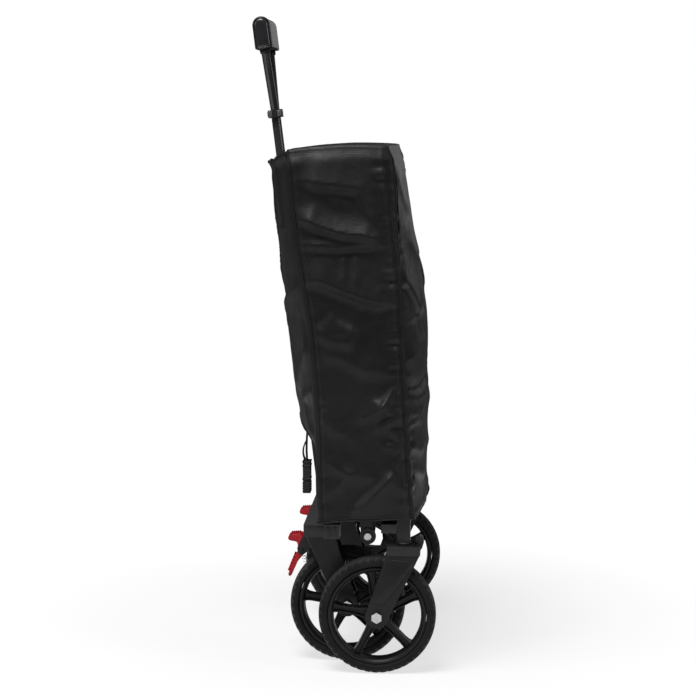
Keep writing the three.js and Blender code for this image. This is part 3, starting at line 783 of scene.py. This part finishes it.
def add_sockets():
    """Short ferrules where each arm enters the grip, and a lip round the top of the sleeve."""
    for name, sign in SIDES:
        rings = []
        for r, w in ((7.3, 758), (8.6, 758.6), (9.2, 760), (9.2, 766), (7.3, 766)):
            reach = sign * (9 + 41 * (w - 660.3) / 105.4)  # the arm leans outwards
            rings.append([on_handle(r * math.cos(a), reach + r * math.sin(a), w) for a in turns(28)])
        piece(f"arm_ferrule_{name}", *skin(rings), plastic, "handle_slider", "black_plastic")
    lip = ((11.2, 538), (13.2, 539), (13.6, 541), (13.6, 553), (12.6, 555), (8.9, 555), (8.9, 553))
    rings = [ring_on_handle(r, w, 36) for r, w in lip]
    piece("sleeve_lip", *skin(rings, ends=False), plastic, "handle", "black_plastic")


def add_collar():
    """Cheek pads on the collar that joins the stem to the two arms."""
    for name, sign in SIDES:
        for tag, u0, u1 in (("back", -11.5, -5), ("front", 4.5, 11.5)):
            rings = []
            for grow, y in ((0, 16.6), (0, 17.7), (0.8, 18.3)):
                outline = rounded(oblong(u0 + grow, 647.5 + grow, u1 - grow, 658.5 - grow), 1.6)
                rings.append([on_handle(u, sign * y, w) for u, w in outline])
            points, faces = skin(rings if sign < 0 else [r[::-1] for r in rings])
            piece(f"collar_pad_{tag}_{name}", points, faces, collar_grey, "handle_slider", "black_plastic")


# ---- Brake rockers ----


def add_brakes():
    for side, sign in SIDES:
        x, _, z = pivot_of(f"brake_pedal_{side}")
        low, high = node_box(f"brake_pedal_{side}")
        y0, y1 = low[1], high[1]
        body = f"brake_pedal_{side}"
        outline = rounded([
            (x + 8, z - 4), (x + 8, z + 7), (x + 4, z + 14), (x + 2, z + 25), (x - 4, z + 27),
            (x - 18, z + 26.5), (x - 25, z + 22), (x - 23, z + 16), (x - 8, z + 13.5), (x - 6.5, z + 1),
            (x - 13.5, z - 20), (x - 24.5, z - 44), (x - 22.5, z - 48.5), (x - 18.5, z - 47),
            (x - 6.5, z - 20),
        ], 4, 4)
        obj = piece(f"brake_rocker_{side}", *extruded(outline, y0, y1), red, body, "red_plastic")
        soften(obj, 1.8, 4, 50)
        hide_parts(f"brake_pedal_{side}")
        parts = []
        for i in range(6):
            cx, cz = x - 11.6 - 2.1 * i, z - 12 - 5.2 * i
            rib = [(cx - 3.2, cz + 0.3), (cx + 3.4, cz - 2.2), (cx + 4, cz - 0.7), (cx - 2.6, cz + 1.8)]
            parts.append(extruded(rounded(rib, 0.6, 2), y0 + 2.5, y1 - 2.5))
        for i in range(5):
            cx, cz = x - 19 + 3.6 * i, z + 26.4 + 0.28 * i
            rib = [(cx - 0.8, cz - 1.2), (cx + 0.8, cz - 1.1), (cx + 0.8, cz + 1.1), (cx - 0.8, cz + 1)]
            parts.append(extruded(rounded(rib, 0.5, 2), y0 + 2.5, y1 - 2.5))
        piece(f"brake_ribs_{side}", *merged(parts), red, body, "red_plastic")
        outer = low[1] if sign < 0 else high[1]
        washer(f"brake_washer_{side}", x, outer + sign * 3.6, outer + sign * 5.0, z, 3.4, "rear_frame", 0.3)
        coil = []
        for i in range(91):
            a = math.tau * i / 13  # seven turns
            coil_x = x + 3 + i * 0.15 + 4.2 * math.cos(a)
            coil.append((coil_x, outer + sign * (7 + 4.2 * math.sin(a)), z - 8 - i * 0.36))
        piece(f"brake_spring_{side}", *tube(coil, 0.7, 6), steel, "rear_frame", "bright_steel")


# ---- Strap and buckle ----


def add_strap():
    low, high = node_box("buckle_socket")
    plug_low, plug_high = node_box("buckle_plug")
    x = (low[0] + high[0]) / 2
    top = high[2]
    sleeve_x = on_handle(-13.2, 0, 92)
    path = [(x + 0.5, top - 8), (x, top), (x - 1, top + 18), (x - 0.5, top + 38), (x + 0.5, top + 54),
            (x + 2.6, top + 64), (sleeve_x[0] - 0.6, sleeve_x[2] - 3), (sleeve_x[0] - 0.4, sleeve_x[2] + 6)]
    parts = [ribbon(resampled(path, 26), 20, 3.0)]
    band = ((11.5, 82), (13.0, 82.4), (13.3, 84), (13.3, 100), (13.0, 101.6), (11.5, 102), (11.5, 82))
    loop = [ring_on_handle(r, w, 40) for r, w in band]
    parts.append(skin(loop, ends=False))
    tail = [(x - 1.5, top - 3), (x - 5, top + 4), (x - 7, top + 10), (x - 7.2, top + 20), (x - 5, top + 28),
            (x - 2.4, top + 34)]
    parts.append(ribbon(resampled(tail, 16), 19, 2.4))
    obj = piece("strap_webbing", *merged(parts), webbing, "handle", "webbing")
    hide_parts("strap")
    half = (high[1] - low[1]) / 2
    bars = []
    for z in (top - 1.6, top - 9, low[2] + 3):
        outline = rounded(oblong(low[0] - 0.9, z - 1.4, high[0] + 0.9, z + 1.4), 1, 2)
        bars.append(extruded(outline, -half - 0.9, half + 0.9))
    piece("buckle_bands", *merged(bars), plastic, "handle", "black_plastic")
    ribs = []
    for i in range(4):
        z = plug_low[2] + 4 + 4.6 * i
        outline = rounded(oblong(plug_low[0] - 0.8, z - 0.9, plug_high[0] + 0.8, z + 0.9), 0.7, 2)
        ribs.append(extruded(outline, -half - 0.5, half + 0.5))
    piece("buckle_plug_ribs", *merged(ribs), plastic, "buckle_plug", "black_plastic")


def resampled(path, count):
    """A smooth curve through the points, as this many evenly spaced ones."""
    path = np.asarray(path, float)
    run = np.concatenate([[0], np.cumsum(np.linalg.norm(np.diff(path, axis=0), axis=1))])
    rough = np.linspace(0, run[-1], count)
    line = np.stack([np.interp(rough, run, path[:, k]) for k in range(path.shape[1])], 1)
    for _ in range(3):
        line[1:-1] = (line[:-2] + 2 * line[1:-1] + line[2:]) / 4
    return line


# ---- Storage cover ----

COVER_HALF = 268
COVER_TOP = 893
COVER_HEM = 262
OPENING_DIP = 13  # the rear opening's edge hangs this far below the top
FLAP_PULL, FACE_PULL = 9, 4  # the end faces are drawn in by this much
POST_ROOM = 4.5  # how far the side panels may sink before they meet the posts inside
ROLL_HEIGHT, ROLL_DEPTH = 46, 8  # the round along the top edge
LEVELS = np.array([  # height; x of the rear and front corners; how far each end face swells out
    (255, -33, 127.5, 42, 15), (450, -38, 112.5, 51, 34), (585, -49, 106, 58, 38),
    (720, -70, 99, 50, 23), (880, -88, 90, 46, 4), (930, -94, 87, 45, 3),
])
SLIT_HALF = 16
FOLD_DEPTH = 2.9  # times a fold's height in the tables, on the side panels
FACE_DEPTH = 1.2  # the same on the two end faces
PANEL_COLUMNS, ARC_COLUMNS, FRONT_COLUMNS, FLAP_COLUMNS = 46, 6, 92, 46


def level(z):
    """The cover's outline sizes at a height, eased so that it has no corner at a level."""
    spots = [z - 24, z - 12, z, z + 12, z + 24]
    return np.mean([[np.interp(s, LEVELS[:, 0], LEVELS[:, k]) for k in range(1, 5)] for s in spots], axis=0)


def slit_half(z):
    """Half the width of the opening down the rear face, which spreads at the bottom."""
    spread = 54 * smoothstep(690, 800, z) + 222 * (1 - smoothstep(398, 452, z))
    return SLIT_HALF + spread + 18 * (1 - smoothstep(262, 400, z))


def hem_height(x, y):
    """The bottom edge dips at the rear and lifts at the front."""
    return 261 + 7.5 * smoothstep(-30, 90, x) + 1.6 * math.sin(y / 38) + 1.2 * math.sin(x / 19 + 1)


def top_height(x):
    return COVER_TOP + 2 - (9 * ((34 - x) / 122) ** 2 if x < 34 else 3 * ((x - 34) / 56) ** 2)


def crease(a, z, line, height, above, below, taper=0.18):
    """A fold along a bent line on a panel: it rises over one width and falls over another."""
    best = np.full(a.shape, 1e9)
    signed = np.zeros(a.shape)
    share = np.zeros(a.shape)
    line = np.asarray(line, float)
    runs = np.concatenate([[0], np.cumsum(np.linalg.norm(np.diff(line, axis=0), axis=1))])
    for p, q, run in zip(line[:-1], line[1:], runs):
        way = q - p
        length = np.linalg.norm(way)
        t = np.clip(((a - p[0]) * way[0] + (z - p[1]) * way[1]) / length**2, 0, 1)
        da, dz = a - p[0] - t * way[0], z - p[1] - t * way[1]
        distance = np.hypot(da, dz)
        nearer = distance < best
        side = np.sign(way[0] * dz - way[1] * da)
        signed = np.where(nearer, distance * side, signed)
        share = np.where(nearer, (run + t * length) / runs[-1], share)
        best = np.minimum(best, distance)
    width = np.where(signed > 0, above, below)
    ends = smoothstep(0, taper, share) * smoothstep(1, 1 - taper, share)
    fade = np.exp(-((best / width) ** 1.35))
    return height * fade * (0.25 + 0.75 * ends)


# Folds on the right side panel: line of (x, z), height, width above the line and below it
SIDE_FOLDS = [
    ([(-66, 838), (-30, 829), (34, 822), (62, 770)], 4.2, 30, 8),
    ([(-72, 779), (-38, 761), (2, 748), (40, 744), (71, 739)], 5.5, 26, 7),
    ([(-24, 806), (-2, 798), (26, 792)], 1.1, 12, 7),
    ([(-64, 727), (0, 725), (70, 729)], 2.6, 14, 5),
    ([(-62, 716), (0, 713), (66, 718)], -0.9, 7, 20),
    ([(-60, 668), (-30, 668), (0, 655), (40, 640), (91, 628)], 5.0, 42, 8),
    ([(-44, 590), (-20, 572), (16, 566), (30, 600)], 3.2, 46, 12),
    ([(8, 712), (10, 690), (9, 668)], 1.0, 4, 4),
    ([(28, 714), (31, 688), (29, 662)], 1.3, 5, 4),
    ([(-36, 545), (0, 540), (40, 520), (96, 512)], 2.6, 40, 10),
    ([(110, 443), (92, 436), (58, 420)], 2.6, 8, 5),
    ([(108, 446), (84, 452), (52, 470)], 2.0, 8, 6),
    ([(92, 487), (80, 470), (69, 450), (62, 430)], 2.4, 9, 5),
    ([(30, 436), (60, 446), (90, 472)], 2.2, 14, 7),
    ([(-36, 448), (-10, 420), (14, 408)], 1.8, 12, 8),
    ([(117, 391), (98, 388), (76, 392)], 2.2, 5, 5),
    ([(117, 393), (102, 404), (88, 420)], 1.8, 5, 5),
    ([(117, 389), (104, 374), (94, 352)], 1.8, 5, 5),
    ([(97, 350), (76, 326), (41, 291), (20, 276)], 4.4, 20, 7),
    ([(-30, 372), (0, 352), (40, 338), (70, 340)], 2.0, 16, 10),
    ([(-24, 310), (0, 322), (26, 350)], 1.8, 10, 8),
    ([(112, 330), (116, 300), (120, 276)], 2.2, 8, 6),
]
# Folds on the front face: (y, z)
FRONT_FOLDS = [
    ([(-262, 680), (-200, 640), (-140, 604)], 6.0, 30, 7),
    ([(-262, 597), (-200, 600), (-120, 606), (-40, 612)], -3.4, 10, 6),
    ([(-262, 484), (-190, 480), (-110, 486), (-30, 480)], -5.0, 16, 5),
    ([(-262, 472), (-180, 466), (-90, 470)], 3.4, 7, 16),
    ([(-260, 534), (-190, 552), (-100, 556)], 4.0, 14, 30),
    ([(-262, 446), (-200, 438), (-150, 442)], 2.2, 6, 5),
    ([(-262, 424), (-210, 428), (-160, 420)], 2.0, 6, 5),
    ([(-262, 392), (-190, 372), (-90, 380)], 3.2, 18, 9),
    ([(-255, 350), (-180, 330), (-60, 318)], 3.0, 18, 9),
    ([(-240, 860), (-160, 800), (-60, 780)], 3.4, 36, 14),
    ([(-180, 735), (-80, 700), (40, 705)], 3.6, 34, 14),
    ([(40, 690), (120, 640), (240, 620)], 4.0, 30, 10),
    ([(255, 500), (160, 486), (30, 496)], -3.8, 14, 6),
    ([(250, 420), (150, 440), (40, 420)], 3.2, 20, 10),
    ([(60, 360), (150, 332), (250, 340)], 3.0, 20, 10),
]
# Folds on each half of the rear face: (distance from the middle, z)
REAR_FOLDS = [
    ([(262, 668), (190, 640), (108, 607), (116, 580)], 5.0, 26, 8),
    ([(264, 776), (220, 758), (180, 752)], 2.2, 8, 6),
    ([(262, 486), (200, 462), (222, 418), (250, 388)], 4.2, 14, 8),
    ([(262, 560), (200, 520), (160, 470)], 3.2, 18, 9),
    ([(60, 850), (66, 780), (78, 700), (90, 640)], 5.0, 12, 12),
    ([(120, 862), (126, 790), (132, 720)], 4.4, 12, 12),
    ([(190, 868), (196, 800), (204, 730)], 4.0, 11, 11),
    ([(150, 610), (156, 540), (170, 460)], 4.0, 14, 14),
    ([(230, 640), (236, 560), (244, 470)], 3.0, 10, 10),
    ([(70, 600), (76, 520), (90, 430)], 3.4, 16, 16),
]


def puckers(a, z, seam, seed, reach, height):
    """Short gathers across a seam, where its thread has drawn the cloth up."""
    gather = np.array([noise.noise((seed, 0.0, float(v) / 15.0)) for v in z.ravel()]).reshape(z.shape)
    fine = np.array([noise.noise((seed + 7, 0.0, float(v) / 7.0)) for v in z.ravel()]).reshape(z.shape)
    return height * (gather + 0.4 * fine) * np.exp(-(((a - seam) / reach) ** 2))


def rumple(points, scale, seed, squeeze):
    """Sharp-crested random wrinkles, longer one way than the other."""
    values = []
    for p in points.reshape(-1, 3):
        place = (p[0] * squeeze[0] / scale, p[1] * squeeze[1] / scale + seed, p[2] * squeeze[2] / scale)
        values.append(1 - 2 * abs(noise.noise(place)))
    return np.array(values).reshape(points.shape[:-1])


def billow(points, scale, seed):
    values = [noise.noise((p[0] / scale + seed, p[1] / scale, p[2] / scale)) for p in points.reshape(-1, 3)]
    return np.array(values).reshape(points.shape[:-1])


def corner_curve(start, corner, end, count):
    t = np.linspace(0, 1, count + 2)[1:-1, None]
    return (1 - t) ** 2 * start + 2 * t * (1 - t) * corner + t**2 * end


def cover_row(z):
    """One level of the cover, from the slit round the left side, the front and the right side
    to the slit again, as (x, y) points and the panel that each belongs to."""
    rear, front, rear_swell, front_swell = level(z)
    rear_round = 5
    front_round = 4.5 + 9 * smoothstep(650, 885, z)

    def swell(y, base, amount):
        return base + amount * (1 - abs(y / COVER_HALF) ** 3)

    flap_y = np.linspace(slit_half(z), COVER_HALF - rear_round, FLAP_COLUMNS)
    flap = np.array([(swell(y, rear, -rear_swell), y) for y in flap_y])
    panel_x = np.linspace(rear + rear_round, front - front_round, PANEL_COLUMNS)
    panel = np.array([(x, COVER_HALF) for x in panel_x])
    face_y = np.linspace(COVER_HALF - front_round, -COVER_HALF + front_round, FRONT_COLUMNS)
    face = np.array([(swell(y, front, front_swell), y) for y in face_y])
    rear_arc = corner_curve(flap[-1], np.array((rear, COVER_HALF)), panel[0], ARC_COLUMNS)
    front_arc = corner_curve(panel[-1], np.array((front, COVER_HALF)), face[0], ARC_COLUMNS)
    mirror = np.array((1, -1))
    left = [flap, rear_arc, panel, front_arc]
    spans = left + [face] + [span[::-1] * mirror for span in left[::-1]]
    return np.concatenate(spans), np.repeat(np.arange(len(spans)), [len(span) for span in spans])


# What cover_row calls each stretch of a row, in order
(LEFT_FLAP, REAR_LEFT_ARC, LEFT_PANEL, FRONT_LEFT_ARC, FRONT_FACE,
 FRONT_RIGHT_ARC, RIGHT_PANEL, REAR_RIGHT_ARC, RIGHT_FLAP) = range(9)


def first_and_last(kinds, kind):
    """The first and the last column of one kind."""
    columns = np.flatnonzero(kinds == kind)
    return int(columns[0]), int(columns[-1])


def cover_walls():
    """The cover's walls as a grid of points, with the folds worked into them."""
    shares = np.linspace(0, 1, 128)
    rows = []
    for share in shares:
        z = COVER_HEM + (COVER_TOP - COVER_HEM) * share
        row, kinds = cover_row(z)
        rows.append(np.column_stack([row, np.full(len(row), z)]))
    grid = np.array(rows)
    x, y = grid[..., 0], grid[..., 1]
    # heights: each column runs from the hem to the top edge, lower across the rear opening
    hem = np.vectorize(hem_height)(x[:1], y[:1])
    edge = np.vectorize(top_height)(x[-1:])
    opening = np.where(np.isin(kinds, (LEFT_FLAP, RIGHT_FLAP)), 1.0, 0.0)[None]
    edge = edge - OPENING_DIP * opening * (1 - np.clip(np.abs(y[-1:]) / COVER_HALF, 0, 1) ** 5)
    grid[..., 2] = hem + (edge - hem) * shares[:, None]
    z = grid[..., 2]
    along = np.gradient(grid, axis=1)
    along = (np.roll(along, 1, 1) + along + np.roll(along, -1, 1)) / 3
    normal = np.stack([along[..., 1], -along[..., 0], np.zeros_like(x)], -1)
    normal /= np.maximum(np.linalg.norm(normal, axis=-1, keepdims=True), 1e-9)
    normal *= -1
    push = 2.2 * billow(grid, 130, 3.0) + 1.0 * billow(grid, 48, 11.0)
    push += 0.8 * rumple(grid, 60, 5.0, (1, 1, 0.55))
    push += 0.35 * rumple(grid, 22, 9.0, (1, 1, 0.7))
    right, left = kinds == RIGHT_PANEL, kinds == LEFT_PANEL
    for line, height, above, below in SIDE_FOLDS:
        push[:, right] += FOLD_DEPTH * crease(x[:, right], z[:, right], line, height, above, below)
        softer = crease(x[:, left], z[:, left] + 26, line, height, above * 1.2, below * 1.3)
        push[:, left] += FOLD_DEPTH * softer
    face = kinds == FRONT_FACE
    for line, height, above, below in FRONT_FOLDS:
        push[:, face] += FACE_DEPTH * crease(y[:, face], z[:, face], line, height, above, below)
    for flap, shift in ((kinds == RIGHT_FLAP, 0), (kinds == LEFT_FLAP, 21)):
        for line, height, above, below in REAR_FOLDS:
            fold = crease(np.abs(y[:, flap]), z[:, flap] + shift, line, height, above, below)
            push[:, flap] += FACE_DEPTH * fold
        push[:, flap] -= FLAP_PULL
    push[:, face] -= FACE_PULL
    front_seam, rear_seam = (x[:, c][:, None] for c in first_and_last(kinds, RIGHT_PANEL))
    sides = right | left
    push[:, sides] += puckers(x[:, sides], z[:, sides], front_seam - 9, 2.0, 13, 5.5)
    push[:, sides] += puckers(x[:, sides], z[:, sides], rear_seam + 6, 5.0, 8, 2.6)
    # a low ridge runs along each seam, where the two panels' edges are turned under
    for ridge in (front_seam - 5.5, rear_seam + 5):
        push[:, sides] += 1.5 * np.exp(-(((x[:, sides] - ridge) / 2.6) ** 2))
    beyond = np.isin(kinds, (FRONT_LEFT_ARC, FRONT_RIGHT_ARC))
    push[:, beyond] += puckers(z[:, beyond] * 0, z[:, beyond], 0, 4.0, 1, 2.4)
    push[:, face] += puckers(np.abs(y[:, face]), z[:, face], 248, 6.0, 16, 3.4)
    # the seams themselves hold still, and so do the hem and the top edge
    for seam in (front_seam, rear_seam):
        hold = 1 - 0.5 * np.exp(-(((x - seam) / 3.0) ** 2))
        push = np.where(sides[None] | beyond[None], push * hold, push)
    hem_hold = 0.45 + 0.55 * smoothstep(0, 26, z - hem)
    top_hold = smoothstep(0, 22, edge - z)
    push = push * hem_hold * (0.15 + 0.85 * top_hold)
    push = np.where(sides[None], np.maximum(push, -POST_ROOM + 0.2 * push), push)
    hem_band = 0.9 * smoothstep(9.5, 8.3, z - hem)
    grid += normal * (push + hem_band + 1.2)[..., None]
    # round over the top edge, except across the rear opening
    depth = smoothstep(ROLL_HEIGHT, 0, edge - z) ** 2.6 * ROLL_DEPTH * (1 - opening)
    grid -= normal * depth[..., None]
    grid[..., 2] -= 1.5 * smoothstep(14, 0, edge - z) * opening * (np.sin(y / 9) + 1)
    return grid, kinds


def cover_crown(grid, kinds):
    """The top panel: a patch stretched between the two sides, the front and the rear opening."""
    top = grid[-1]
    rear_left = first_and_last(kinds, REAR_LEFT_ARC)[0]
    rear_right = first_and_last(kinds, REAR_RIGHT_ARC)[1]
    rim_line = top[rear_left:rear_right + 1]
    side = ARC_COLUMNS + PANEL_COLUMNS + ARC_COLUMNS // 2
    left, front, right = rim_line[:side], rim_line[side - 1:-side + 1], rim_line[::-1][:side]
    u = np.linspace(0, 1, len(front))[None, :, None]
    v = np.linspace(0, 1, side)[:, None, None]
    line = np.linspace(0, 1, len(front))[:, None]
    rear = left[0] * (1 - line) + right[0] * line
    rear[:, 0] -= 6 * np.sin(np.pi * line[:, 0])
    patch = ((1 - v) * rear[None] + v * front[None] + (1 - u) * left[:, None] + u * right[:, None]
             - (1 - u) * (1 - v) * left[0] - u * (1 - v) * right[0]
             - (1 - u) * v * front[0] - u * v * front[-1])
    inner = (np.sin(np.pi * u) * np.sin(np.pi * v) ** 0.7)[..., 0]
    lump = 1.6 * billow(patch, 90, 8.0) + 1.1 * rumple(patch, 55, 2.0, (1, 0.6, 1))
    patch[..., 2] += np.clip(inner, 0, 1) ** 0.6 * (1.2 + lump)
    return patch


SIDE_FACE = 262  # past this y the cloth is a side panel


def outwards(p):
    """The direction out of the cover at a point on it."""
    if abs(p[1]) > SIDE_FACE:
        return np.array((0, math.copysign(1, p[1]), 0))
    return np.array((math.copysign(1, p[0]), 0, 0))


def stitch_row(path, gap=4.2, length=2.6, radius=0.28):
    """A run of stitches lying along a path on the cloth."""
    path = np.asarray(path, float)
    run = np.concatenate([[0], np.cumsum(np.linalg.norm(np.diff(path, axis=0), axis=1))])
    parts = []
    for start in np.arange(gap, run[-1] - gap, gap):
        spots = (start, start + length / 2, start + length)
        first, middle, last = (np.array([np.interp(s, run, path[:, k]) for k in range(3)]) for s in spots)
        lift = outwards(first) * 0.25
        parts.append(tube([first - lift, middle + lift, last - lift], radius, 4))
    return merged(parts)


def add_cover():
    grid, kinds = cover_walls()
    patch = cover_crown(grid, kinds)
    rows, columns = grid.shape[:2]
    points = grid.reshape(-1, 3)
    faces = grid_faces(rows, columns)
    crown = grid_faces(patch.shape[0], patch.shape[1], start=len(points))
    points = np.concatenate([points, patch.reshape(-1, 3)])
    faces = [f[::-1] for f in faces] + crown
    shell = piece("cover_shell", points, faces, nylon, None, "cover_nylon")
    sew(shell)
    hems = [tube(grid[:, c], 1.5, 6) for c in (0, columns - 1)]
    hems.append(tube(grid[0], 1.3, 6))
    flap_tops = [grid[-1, kinds == LEFT_FLAP], grid[-1, kinds == RIGHT_FLAP], patch[0]]
    hems += [tube(line, 1.5, 6) for line in flap_tops]
    binding = piece("cover_binding", *merged(hems), nylon, None, "cover_nylon")
    cords = []
    front, rear = first_and_last(kinds, RIGHT_PANEL)
    for c in (*first_and_last(kinds, LEFT_PANEL), front, rear):
        line = grid[:, c].copy()
        line[:, 1] += np.sign(line[:, 1]) * 0.6
        cords.append(tube(line, 1.0, 8))
    # the piping cords get the darker cloth, painted shade along the seams
    piping = piece("cover_piping", *merged(cords), piping_cloth_painted_shade, None, "cover_nylon")
    rows_of = [stitch_row(grid[2] + np.array((0, 0, 0.4)))]
    for c in (front + 2, rear - 2):
        rows_of.append(stitch_row(grid[:, c]))
    stitches = piece("cover_stitches", *merged(rows_of), thread, None, "cover_nylon")
    for obj in (shell, binding, piping, stitches):
        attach(obj, "cover")
        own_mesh(obj)
    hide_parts("cover")
    thicken(shell, 0.9, -1)


def sew(obj):
    """Joins the points that two panels share."""
    mesh = bmesh.new()
    mesh.from_mesh(obj.data)
    bmesh.ops.remove_doubles(mesh, verts=mesh.verts, dist=0.05 * MM)
    mesh.to_mesh(obj.data)
    mesh.free()
    obj.data.shade_smooth()


# ---- Fabric inside the wagon ----

POST_INNER = 239.4  # each post's face towards the middle
GUSSETS = {"rear": [(330, 846)], "front": [(330, 500), (645, 846)]}  # heights clear of the side rails


def end_panel(name, node, body, outward):
    """A fabric end wall: it follows the leaning posts, sags between them and is hemmed all round."""
    low, high = node_box(node)
    mesh = NODES[node].data
    co = np.array([v.co for v in mesh.vertices]) / MM
    heights = sorted({round(float(v), 1) for v in co[:, 2]})
    centre = [co[np.abs(co[:, 2] - h) < 0.1][:, 0].mean() for h in heights]
    ys, zs = np.linspace(low[1], high[1], 72), np.linspace(low[2], high[2], 84)
    grid = np.zeros((len(zs), len(ys), 3))
    for i, z in enumerate(zs):
        for j, y in enumerate(ys):
            middle = (1 - (y / high[1]) ** 2) * math.sin(math.pi * i / (len(zs) - 1))
            ripple = noise.noise((y / 60, z / 90, 4.0 + outward)) * 2.2
            ripple += noise.noise((y / 22, z / 40, 9.0)) * 0.8
            grid[i, j] = (np.interp(z, heights, centre) + outward * (2.4 * middle + ripple * middle), y, z)
    faces = grid_faces(len(zs), len(ys))
    sheet = piece(f"{name}_cloth", grid.reshape(-1, 3), faces, polyester, body, "wagon_fabric")
    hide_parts(node)
    thicken(sheet, 1.2)
    edge = np.concatenate([grid[0], grid[1:, -1], grid[-1, ::-1][1:], grid[::-1, 0][1:-1]])
    hem = piece(f"{name}_hem", *tube(edge, 2.0, 8, closed=True), webbing, body, "webbing")
    gussets = []
    for sign in (-1, 1):
        for z0, z1 in GUSSETS[name]:
            spans = []
            for share in np.linspace(0, 1, 5):
                y = sign * (high[1] + (POST_INNER - high[1]) * share)
                sag = 1.5 * math.sin(math.pi * share)
                zs = np.linspace(z0, z1, 90)
                xs = [np.interp(z, heights, centre) + outward * 7.5 * share for z in zs]
                spans.append([(x + outward * sag * math.sin(z / 9), y, z) for x, z in zip(xs, zs)])
            gussets.append((np.array(spans).reshape(-1, 3), grid_faces(5, 90)))
    gusset = piece(f"{name}_gussets", *merged(gussets), polyester, body, "wagon_fabric")
    thicken(gusset, 1.0)


WALL_LENGTH, WALL_HEIGHT = 392.5, 298.0  # half a side wall, spread out
WEDGE_Y = (190.0, 206.0)
WEDGE_START = 14  # distance from the hinge


def side_wall(side, sign, end):
    """Half of a side wall, gathered into a narrow wedge between its post and the raised floor board.
    Each line out from the hinge is as long as it would be in the spread wall between the two with the board down;
    only the gathered wedge is built."""
    hinge = pivot_of(f"floor_hinge_{end}")
    toward = 1 if end == "rear" else -1
    travel = math.radians(JOINTS[f"floor_hinge_{end}"]["range_deg"][1])
    fold = math.pi / 2 - travel
    y_low, y_high = WEDGE_Y
    angles, steps = 64, 44
    points = []
    for i in range(angles):
        share = i / (angles - 1)
        lay = share * math.pi / 2  # final angle from the post towards the floor
        reach = min(WALL_HEIGHT / max(math.cos(lay), 1e-6), WALL_LENGTH / max(math.sin(lay), 1e-6))
        rest = share * fold
        weight = inverse_smoothstep(share)
        y = sign * (y_low + (y_high - y_low) * weight)
        for j in range(steps):
            r = WEDGE_START + (reach - WEDGE_START) * j / (steps - 1)
            points.append((hinge[0] + toward * r * math.sin(rest), y, hinge[2] + r * math.cos(rest)))
    faces = grid_faces(angles, steps)
    obj = piece(f"side_wall_{end}_{side}", points, faces, polyester, None, "wagon_fabric")
    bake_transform(obj)
    thicken(obj, 1.2)
    if end == "rear":
        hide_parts(f"side_fabric_{side}")


def inverse_smoothstep(value):
    """The share whose smoothstep is this value."""
    return 0.5 - math.sin(math.asin(1 - 2 * value) / 3)


def add_floor_edges():
    """A bound edge round each fabric-wrapped floor board."""
    for end in ("rear", "front"):
        co = np.array([v.co for v in NODES[f"floor_panel_{end}"].data.vertices]) / MM
        hinge = pivot_of(f"floor_hinge_{end}")
        far = co[np.argmax(co[:, 2])]
        way = far - hinge
        way[1] = 0
        length = np.linalg.norm(way)
        way /= length
        half = co[:, 1].max() - 3
        corners = oblong(10, -half, length - 5, half)
        line = []
        for (a, b), (c, d) in zip(corners, corners[1:] + corners[:1]):
            for t in np.linspace(0, 1, 30)[:-1]:
                line.append(hinge + way * (a + (c - a) * t) + np.array((0, b + (d - b) * t, 0)))
        out = np.array((way[2], 0, -way[0])) * 6.2
        parts = [tube(np.array(line) + out * s, 1.4, 8, closed=True) for s in (-1, 1)]
        piece(f"floor_edging_{end}", *merged(parts), webbing, f"floor_{end}", "webbing")


# ---- The whole object ----

add_camera()
add_studio()
add_floor()
dress_frame()
add_wheels()
add_channel_plugs()
add_feet()
add_grip()
add_brakes()
add_strap()
end_panel("rear", "rear_end_panel", "rear_frame", -1)
end_panel("front", "front_end_panel", "front_frame", 1)
for side_name, side_sign in SIDES:
    side_wall(side_name, side_sign, "rear")
    side_wall(side_name, side_sign, "front")
add_floor_edges()
add_cover()
